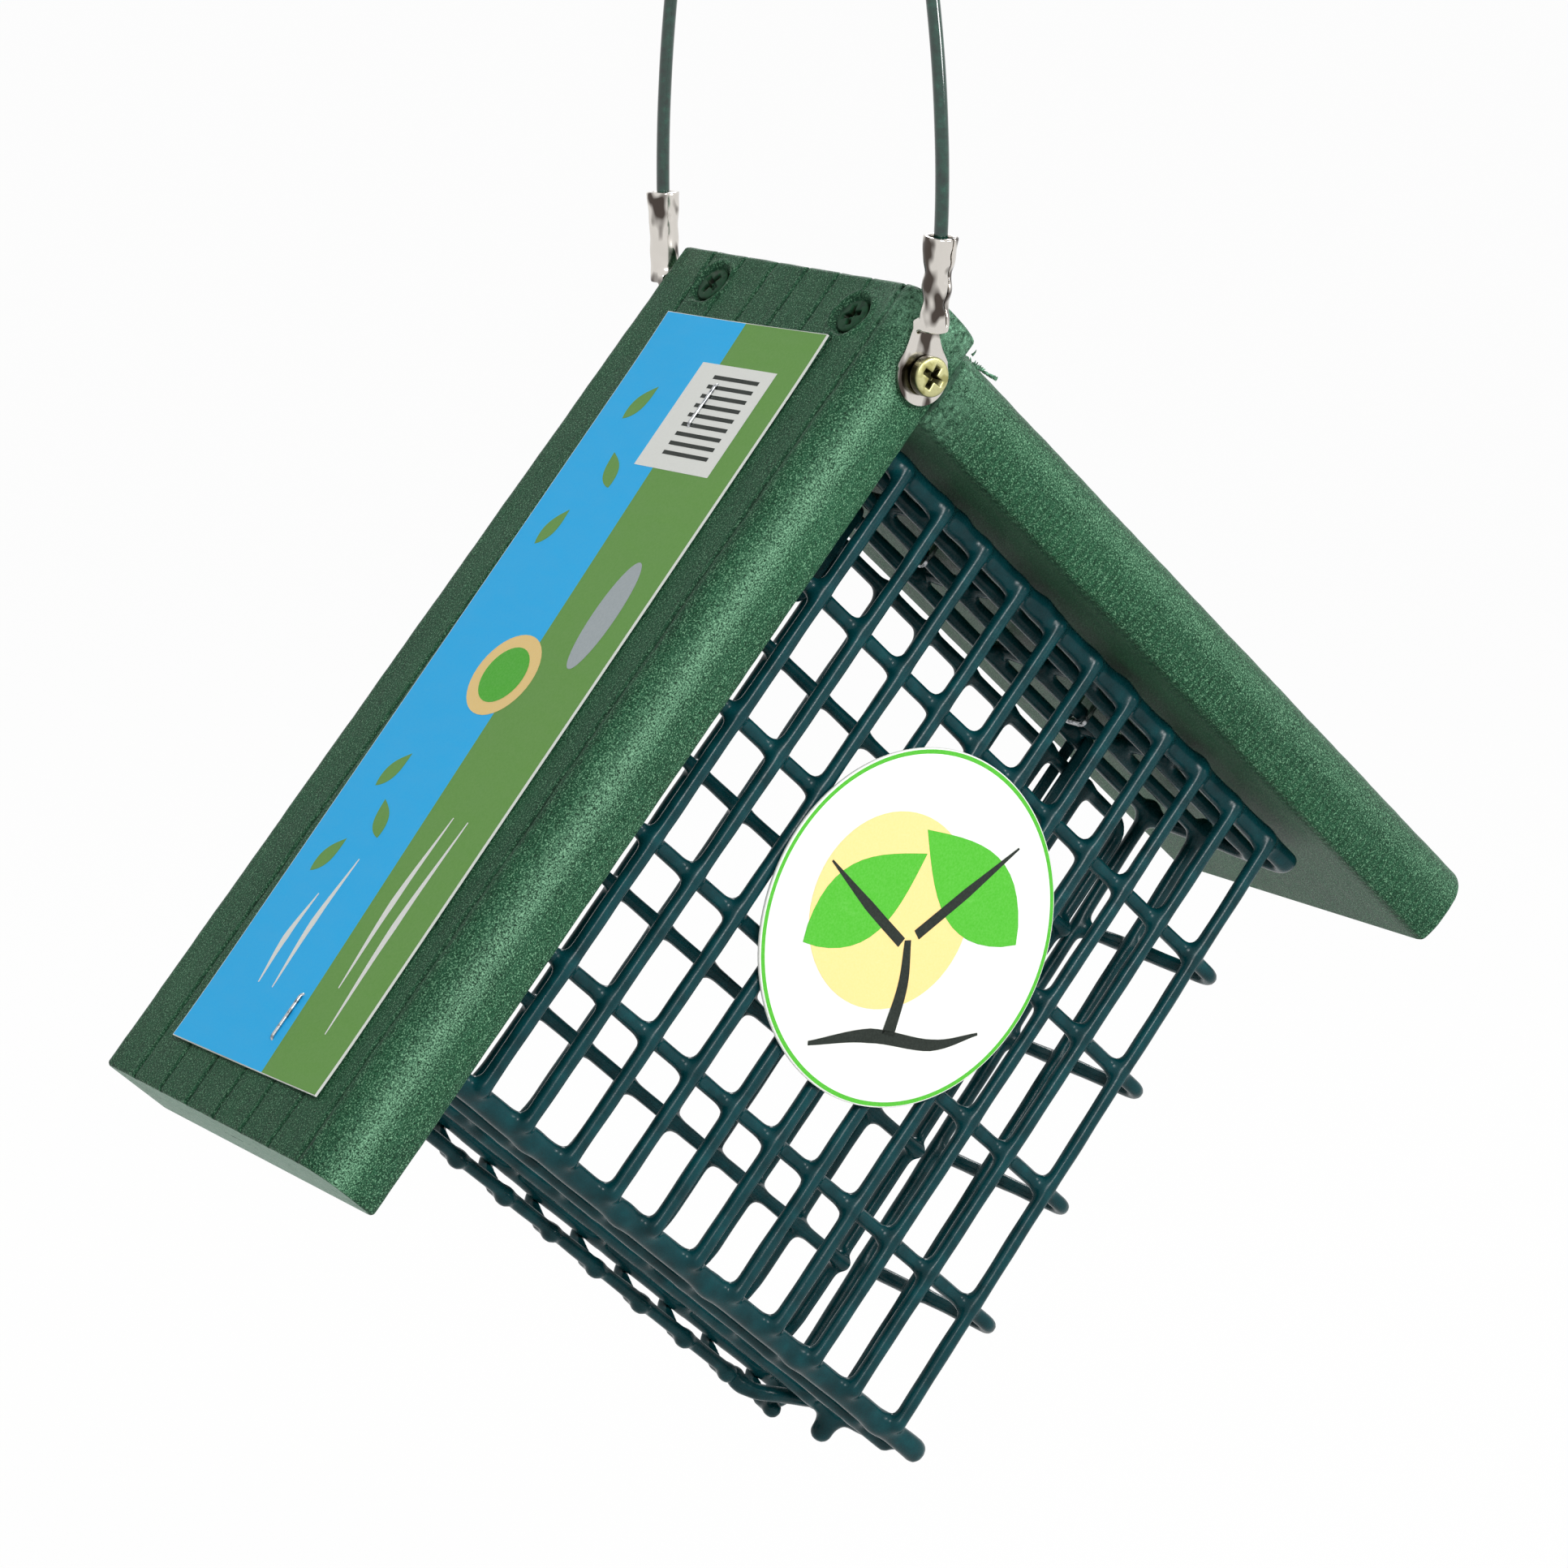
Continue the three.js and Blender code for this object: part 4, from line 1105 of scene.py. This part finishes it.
# Ring terminals: a flat ring and tongue, and a rolled barrel with a seam and two crimps
ring_radius = 5.2
hole_radius = 1.95
tongue_root = 0.94 * ring_radius
tongue_end = 2.4
barrel_start = 7.9
barrel_end = 23.9
barrel_bore = cable_diameter / 2 + 0.3
barrel_radius = barrel_bore + 1.1
bend_line = ring_radius / 3


def terminal_field(splay, seed):
    """Drawn with the plate in the plane y = 0, the outer side to -y, the barrel up."""
    low, high = (-6.4, -9.5, -6.4), (6.4, 2.2, 25.2)
    field = Field(low, high, 0.2)
    cos, sin = math.cos(splay), math.sin(splay)

    def leant(y, z):
        """Depth and height as they were before the tongue and the barrel leant out."""
        back = y + plate_half
        up = z - bend_line
        return back * cos + up * sin - plate_half, up * cos - back * sin + bend_line

    def from_axis(y, z):
        """Depth from the barrel's axis, height, and how far its mouth flares there."""
        y, z = leant(y, z)
        return y + barrel_radius - plate_half, z, 0.4 * np.clip((z - barrel_end + 6) / 6, 0, 1)

    def ring(x, y, z):
        return round_box([np.hypot(x, z) - ring_radius, np.abs(y) - plate_half], 0.3)

    def tongue(x, y, z):
        y, z = leant(y, z)
        share = np.clip((z - bend_line) / (barrel_start - bend_line), 0, 1)
        half = tongue_root + (tongue_end - tongue_root) * share**0.8
        top = barrel_start + 1.5
        height = np.abs(z - (bend_line + top) / 2) - (top - bend_line) / 2
        return round_box([np.abs(x) - half, np.abs(y) - plate_half, height], 0.3)

    def barrel(x, y, z):
        y, z, flare = from_axis(y, z)
        squeeze = np.exp(-((z - 12.6) / 1.5) ** 2) + 0.8 * np.exp(-((z - 17.6) / 1.3) ** 2)
        twist = np.arctan2(y, x)
        dent = squeeze * (
            0.5 * np.clip(np.cos(twist - 2.2 - seed), 0, 1) ** 3
            + 0.75 * np.clip(np.cos(twist + 0.9 + seed), 0, 1) ** 4
        )
        uneven = 0.05 * np.sin(1.3 * z + 3 * twist + seed)
        outer = np.hypot(x, y) - barrel_radius - flare + dent + uneven
        middle = (barrel_start + barrel_end) / 2
        return round_box([outer, np.abs(z - middle) - (barrel_end - barrel_start) / 2], 0.35)

    def seam(x, y, z):
        y, z, _ = from_axis(y, z)
        wander = 0.7 + 0.22 * np.sin(0.8 * z + seed) + 0.1 * np.sin(2.3 * z)
        return np.maximum(np.abs(x - wander) - 0.13, np.maximum(y, barrel_start + 1.2 - z))

    def bore(x, y, z):
        y, z, flare = from_axis(y, z)
        return np.maximum(np.hypot(x, y) - barrel_bore - flare, barrel_start + 3 - z)

    def hole(x, y, z):
        return np.hypot(x, z) - hole_radius

    field.add(low, high, ring, 0.2)
    field.add(low, high, tongue, 0.8)
    field.add(low, high, barrel, 1.4)
    field.cut(low, high, seam, 0.3)
    field.cut(low, high, bore, 0.2)
    field.cut(low, high, hole, 0.2)
    return field


for name, side, face, splay, seed in (
    ("front", -1, front_face, math.radians(7), 0.2),
    ("rear", 1, rear_face, math.radians(2), 1.6),
):
    depth = face + side * (terminal_gap + plate_half)
    turn = Matrix.Rotation(math.pi if side > 0 else 0, 4, "Z")
    seat = upright_matrix @ Matrix.Translation((0, depth * mm, 0)) @ turn
    lug = terminal_field(splay, seed).piece(f"ring_terminal_{name}_tinned", tinned, seat)
    belongs(lug, "hanger", "terminal", f"ring_terminal_{name}")

# Staples
staple_corner = 0.8


def staple_path(spread, legs):
    """Legs along +z, the middle of the crown's wire at z = 0."""
    corner = staple_corner
    return [
        (-spread, 0, legs),
        *arc((-spread + corner, 0, corner), (-corner, 0, 0), (0, 0, -corner), 5),
        *arc((spread - corner, 0, corner), (0, 0, -corner), (corner, 0, 0), 5),
        (spread, 0, legs),
    ]


def make_staple(node, spread, legs, radius, matrix):
    vertices, faces = tube(staple_path(spread, legs), radius, 12)
    staple = mesh_piece(f"{node}_wire", vertices, faces, steel, house_matrix @ matrix)
    belongs(staple, "house", "staple", node)


def basis(x_axis, y_axis, z_axis, place):
    turn = Matrix((x_axis, y_axis, z_axis)).transposed().to_4x4()
    return Matrix.Translation(Vector(place) * mm) @ turn


# Staples of the cage, each over one wire
staple_radius = 0.6
staple_spread = 2.4
seat = wire_radius + 0.15 + staple_radius
for number, share in enumerate((0.1, 0.9)):
    place = (left_wire_x + seat, mid_y, cage_z - share * cage_height)
    turn = basis((0, 1, 0), (0, 0, -1), (-1, 0, 0), place)
    legs = place[0] - left_inner + 6
    make_staple(f"cage_staple_left_{number + 1}", staple_spread, legs, staple_radius, turn)
for number, share in enumerate((0.25, 0.688)):
    place = (cage_x + share * cage_width, mid_y, top_wires[1][1] - seat)
    turn = basis((0, 1, 0), (-1, 0, 0), (0, 0, 1), place)
    legs = right_inner - place[2] + 6
    make_staple(f"cage_staple_right_{number + 1}", staple_spread, legs, staple_radius, turn)

# Label card on the left board: length down the board, width back from its front edge
label_length = 154
label_width = 46.6
label_thickness = 0.4
label_turn = math.radians(1.6)
label_setback = 36.7
label_drop = 90.6
label_gap = 0.3
label_middle = (
    left_outer - label_gap - label_thickness / 2, front_face + label_setback, left_top - label_drop,
)
label_matrix = (
    house_matrix
    @ Matrix.Translation(Vector(label_middle) * mm)
    @ Matrix.Rotation(-label_turn, 4, "X")
)
ink_height = 0.03
ink_margin = 0.15


def sheet(length, width, grain=3):
    """The label's card in its own frame: y across, z along, its printed side to -x."""
    columns = np.linspace(-width / 2, width / 2, int(width / grain) + 1)
    rows = np.linspace(-length / 2, length / 2, int(length / grain) + 1)
    y, z = np.meshgrid(columns, rows, indexing="ij")
    lift = label_curl(y, z)
    half = label_thickness / 2
    layers = [np.stack([x - lift, y, z], axis=2).reshape(-1, 3) for x in (-half, half)]
    grid = np.arange(y.size).reshape(y.shape)
    quads = np.stack([grid[:-1, :-1], grid[:-1, 1:], grid[1:, 1:], grid[1:, :-1]], axis=2)
    quads = quads.reshape(-1, 4)
    rim = [*grid[:, 0], *grid[-1, 1:], *grid[-2::-1, -1], *grid[0, -2:0:-1]]
    sides = [[b, a, a + y.size, b + y.size] for a, b in zip(rim, [*rim[1:], rim[0]])]
    faces = quads.tolist() + (quads[:, ::-1] + y.size).tolist() + sides
    return np.concatenate(layers), faces


def label_curl(y, z):
    """How far the card stands off at its corners and between its staples."""
    ends = np.clip((np.abs(z) - 62) / 15, 0, 1) ** 2
    return 0.25 * ends * (y / (label_width / 2)) ** 2


def printed(name, vertices, faces, material, matrix, slot):
    """Ink on a card, facing -x."""
    ink = mesh_piece(name, vertices, faces, material, matrix, smooth=False)
    if ink.data.polygons[0].normal.dot(matrix.to_3x3() @ Vector((-1, 0, 0))) < 0:
        ink.data.flip_normals()
    belongs(ink, "house", slot)


def ellipse(centre, half_y, half_z, steps=40):
    angles = [2 * math.pi * step / steps for step in range(steps)]
    return [(centre[0] + half_y * math.cos(a), centre[1] + half_z * math.sin(a)) for a in angles]


def leaf(centre, length, width, turn, steps=14):
    """A pointed leaf shape, its tip along its own +z."""
    cos, sin = math.cos(turn), math.sin(turn)
    outline = []
    for side in (1, -1):
        for step in range(steps):
            share = step / steps if side > 0 else 1 - step / steps
            y = side * width / 2 * math.sin(math.pi * share**0.85)
            z = length * (share - 0.5)
            outline.append((centre[0] + y * cos - z * sin, centre[1] + y * sin + z * cos))
    return outline


def stroke(points, widths, steps=8):
    """A brush stroke's outline along a line of places, with a width at each."""
    line = smooth_line([np.array(point, dtype=float) for point in points], steps)
    sizes = np.interp(np.linspace(0, 1, len(line)), np.linspace(0, 1, len(widths)), widths)
    line = np.array(line)
    along = np.gradient(line, axis=0)
    along /= np.linalg.norm(along, axis=1)[:, None]
    side = np.stack([-along[:, 1], along[:, 0]], axis=1) * sizes[:, None] / 2
    return [*map(tuple, line + side), *map(tuple, (line - side)[::-1])]


def make_band(name, near, far_side, rows, material):
    """A strip of ink between two lines along the card, bent with it."""
    height = label_thickness / 2 + ink_height
    lines = [(y, z) for line in (near, far_side) for y, z in zip(line + 0 * rows, rows)]
    vertices = [(-height - label_curl(y, z), y, z) for y, z in lines]
    count = len(rows)
    faces = [[a, a + 1, a + 1 + count, a + count] for a in range(count - 1)]
    printed(name, vertices, faces, material, label_matrix, "label")


def make_label():
    vertices, faces = sheet(label_length, label_width)
    card = mesh_piece("label_card_paper", vertices, faces, card_white, label_matrix, smooth=False)
    belongs(card, "house", "label", "label_card")
    half_length = label_length / 2 - ink_margin
    half_width = label_width / 2 - ink_margin
    # The sky band narrows a little towards the lower end
    rows = np.linspace(-half_length, half_length, 52)
    border = np.interp(rows, (-half_length, half_length), (-5.9, 0.1))
    make_band("label_sky", border, half_width, rows, ink_blue)
    make_band("label_grass", -half_width, border, rows, ink_olive)


def label_shape(name, outline, layer, material):
    """A shape of ink on the label, bent with the card, from its outline (y, z)."""
    height = label_thickness / 2 + ink_height * (1 + layer)
    vertices = [(-height - label_curl(y, z), y, z) for y, z in outline]
    printed(name, vertices, [list(range(len(outline)))], material, label_matrix, "label")


make_label()
# A plain panel, a low sun and sprigs, in the label's colours
label_shape("label_panel", [(-17, 46), (4.5, 46), (4.5, 68), (-17, 68)], 1, card_white)
for number in range(9):
    z = 49 + 2 * number
    label_shape(f"label_bar_{number}", [(-14, z), (-1, z), (-1, z + 0.8), (-14, z + 0.8)], 2, ink_dark)
label_shape("label_sun", ellipse((1, 2), 8.2, 8.2), 1, ink_straw)
label_shape("label_sun_core", ellipse((1, 2), 5.6, 5.6), 2, ink_leaf)
label_shape("label_oval", ellipse((-14.5, 17), 3.3, 11), 1, ink_silver)
for number, (y, z, turn) in enumerate([
    (14, 58, 0.5), (9.5, 44, -0.6), (15, 31, 0.4), (13, -20, 0.5), (7.5, -29, -0.6), (15, -38, 0.5),
]):
    label_shape(f"label_leaf_{number}", leaf((y, z), 8.5, 3.6, turn), 1, ink_olive)
for number, (y, z, length) in enumerate([
    (10.5, -54, 18), (6.0, -50, 26), (-11, -42, 34), (-15.4, -46, 42),
]):
    line = stroke([(y, z - length / 2), (y + 0.9, z), (y, z + length / 2)], [0.3, 1.6, 0.3])
    label_shape(f"label_stroke_{number}", line, 1, card_white)

for name, sign, inset, y in (("upper", 1, 17.4, 35), ("lower", -1, 10.5, 31.7)):
    z = left_top - label_drop + sign * (label_length / 2 - inset)
    place = (left_outer - label_gap - label_thickness - 0.35, front_face + y, z)
    turn = basis((0, 0, 1), (0, -1, 0), (1, 0, 0), place)
    make_staple(f"label_staple_{name}", 4.55, 4, 0.33, turn)

# Round tag in front of the cage
tag_radius = 32
tag_thickness = 0.8
tag_border = 0.75
tag_edge = 0.3
tag_sides = 128
tag_middle = (cage_x + 53.7, cage_y - wire_radius - 0.3 - tag_thickness / 2, cage_z - 58.1)
tag_matrix = (
    house_matrix
    @ Matrix.Translation(Vector(tag_middle) * mm)
    @ Matrix.Rotation(math.radians(12) - house_lean, 4, "Y")
    @ Matrix.Rotation(math.radians(90), 4, "Z")
)


def make_tag():
    """A disc in the plane x = 0 of its own frame, its printed side to -x, its edge eased."""
    half = tag_thickness / 2
    rings = [(half, r) for r in (6, 12, 18, 24, 29, tag_radius - tag_edge)]
    rings.append((half - 0.12, tag_radius - 0.06))
    stations = [*rings, (0, tag_radius), *[(-x, r) for x, r in rings[::-1]]]
    vertices = [(half, 0, 0)]
    vertices += [(x, y, z) for x, r in stations for y, z in ellipse((0, 0), r, r, tag_sides)]
    vertices.append((-half, 0, 0))
    faces = []
    for side in range(tag_sides):
        following = (side + 1) % tag_sides
        faces.append([0, 1 + following, 1 + side])
        for ring in range(len(stations) - 1):
            a = 1 + ring * tag_sides
            b = a + tag_sides
            faces.append([a + side, a + following, b + following, b + side])
        last = 1 + (len(stations) - 1) * tag_sides
        faces.append([last + side, last + following, len(vertices) - 1])
    tag = mesh_piece("round_tag_card", vertices, faces, card_white, tag_matrix)
    belongs(tag, "house", "tag", "round_tag")


def make_tag_border():
    x = -tag_thickness / 2 - ink_height
    radii = (tag_radius - tag_edge, tag_radius - tag_edge - tag_border)
    vertices = [(x, y, z) for r in radii for y, z in ellipse((0, 0), r, r, tag_sides)]
    faces = []
    for side in range(tag_sides):
        following = (side + 1) % tag_sides
        faces.append([side, following, tag_sides + following, tag_sides + side])
    printed("tag_border", vertices, faces, ink_leaf, tag_matrix, "tag")


def tag_shape(name, outline, layer, material):
    """A shape of ink on the tag, from its outline (y, z)."""
    x = -tag_thickness / 2 - ink_height * (1 + layer)
    vertices = [(x, y, z) for y, z in outline]
    printed(name, vertices, [list(range(len(outline)))], material, tag_matrix, "tag")


make_tag()
make_tag_border()
# A seedling before a low sun, in the tag's colours
tag_shape("tag_sun", ellipse((5, 3), 17.5, 17.5, steps=64), 1, ink_straw)
tag_shape("tag_leaf_left", leaf((11, 5), 29, 14, 0.95), 2, ink_leaf)
tag_shape("tag_leaf_right", leaf((-12, 8), 31, 15, -0.9), 2, ink_leaf)
for name, line, widths in (
    ("stem", [(1, -19), (-0.4, -10), (0.2, -2)], [2.8, 2.2, 1.4]),
    ("vein_left", [(1.5, -2.5), (10, 3.6), (19.5, 11)], [2.0, 1.9, 0.4]),
    ("vein_right", [(-1.5, -1), (-11, 7), (-21, 15.6)], [2.0, 1.9, 0.4]),
    ("ground", [(18, -21), (5, -19.2), (-9, -20.4), (-19, -18)], [0.8, 2.6, 2.1, 0.5]),
):
    tag_shape(f"tag_{name}", stroke(line, widths), 3, ink_dark)


# Stage and lights
floor_drop = 0.3
floor_half = 40
floor_glow = 0.965
world_fill = 0.34
lamp_target = Vector((0, 0, -0.2))


def seen_by_eye(tree):
    """1 for rays from the camera and for those sent on by a surface, 0 for soft light."""
    rays = tree.nodes.new("ShaderNodeLightPath").outputs
    seen = rays["Is Camera Ray"]
    for name in ("Is Glossy Ray", "Is Transmission Ray"):
        both = tree.nodes.new("ShaderNodeMath")
        both.operation = "MAXIMUM"
        tree.links.new(seen, both.inputs[0])
        tree.links.new(rays[name], both.inputs[1])
        seen = both.outputs[0]
    return seen


def make_floor():
    """A wide white floor that the camera sees as nearly the same white as the world."""
    z = cad_box[0][2] - floor_drop
    corners = [(x * floor_half, y * floor_half, z) for x, y in ((-1, -1), (1, -1), (1, 1), (-1, 1))]
    mesh = bpy.data.meshes.new("floor")
    mesh.from_pydata(corners, [], [[0, 1, 2, 3]])
    paint = Paint("floor_white", "#f4f4f2", 0.9)
    speckle = paint.noise(paint.node("TexCoord").outputs["Object"], 6, 2, 0.5)
    paint.set("Base Color", paint.mix(paint.range(speckle, 0.3, 0.7), "#f1f1ef", "#f6f6f4"))
    glow = paint.node("Emission", {"Color": (1, 1, 1, 1), "Strength": 1}).outputs[0]
    share = paint.times(seen_by_eye(paint.tree), floor_glow)
    blend = paint.node("MixShader", {0: share, 1: paint.surface.outputs[0], 2: glow}).outputs[0]
    paint.feed(paint.tree.nodes["Material Output"].inputs["Surface"], blend)
    mesh.materials.append(paint.material)
    floor = bpy.data.objects.new("floor", mesh)
    bpy.context.scene.collection.objects.link(floor)


def make_world():
    """White where it is seen, and dimmer as a light."""
    world = bpy.data.worlds.new("studio")
    bpy.context.scene.world = world
    world.use_nodes = True
    tree = world.node_tree
    background = tree.nodes["Background"]
    level = tree.nodes.new("ShaderNodeMapRange")
    tree.links.new(seen_by_eye(tree), level.inputs["Value"])
    level.inputs["To Min"].default_value = world_fill
    level.inputs["To Max"].default_value = 1
    tree.links.new(level.outputs["Result"], background.inputs["Strength"])
    background.inputs["Color"].default_value = (1, 1, 1, 1)


def make_lamp(name, place, size, power):
    data = bpy.data.lights.new(name, "AREA")
    data.shape = "DISK"
    data.size = size
    data.energy = power
    lamp = bpy.data.objects.new(name, data)
    lamp.location = place
    lamp.rotation_euler = (lamp_target - Vector(place)).to_track_quat("-Z", "Y").to_euler()
    bpy.context.scene.collection.objects.link(lamp)


make_floor()
make_world()
make_lamp("key", (-0.4, -1.3, 0.75), 0.45, 15)
make_lamp("side", (0.8, -1.4, 0.3), 0.45, 11)
make_lamp("back", (0.9, 1.1, 0.8), 0.6, 12)
# Two small lamps, for the bright points on the coat
make_lamp("spark_left", (-0.62, -1.0, 0.5), 0.03, 0.2)
make_lamp("spark_right", (-0.5, -1.04, 0.52), 0.03, 0.2)
bpy.context.scene.view_settings.view_transform = "Standard"
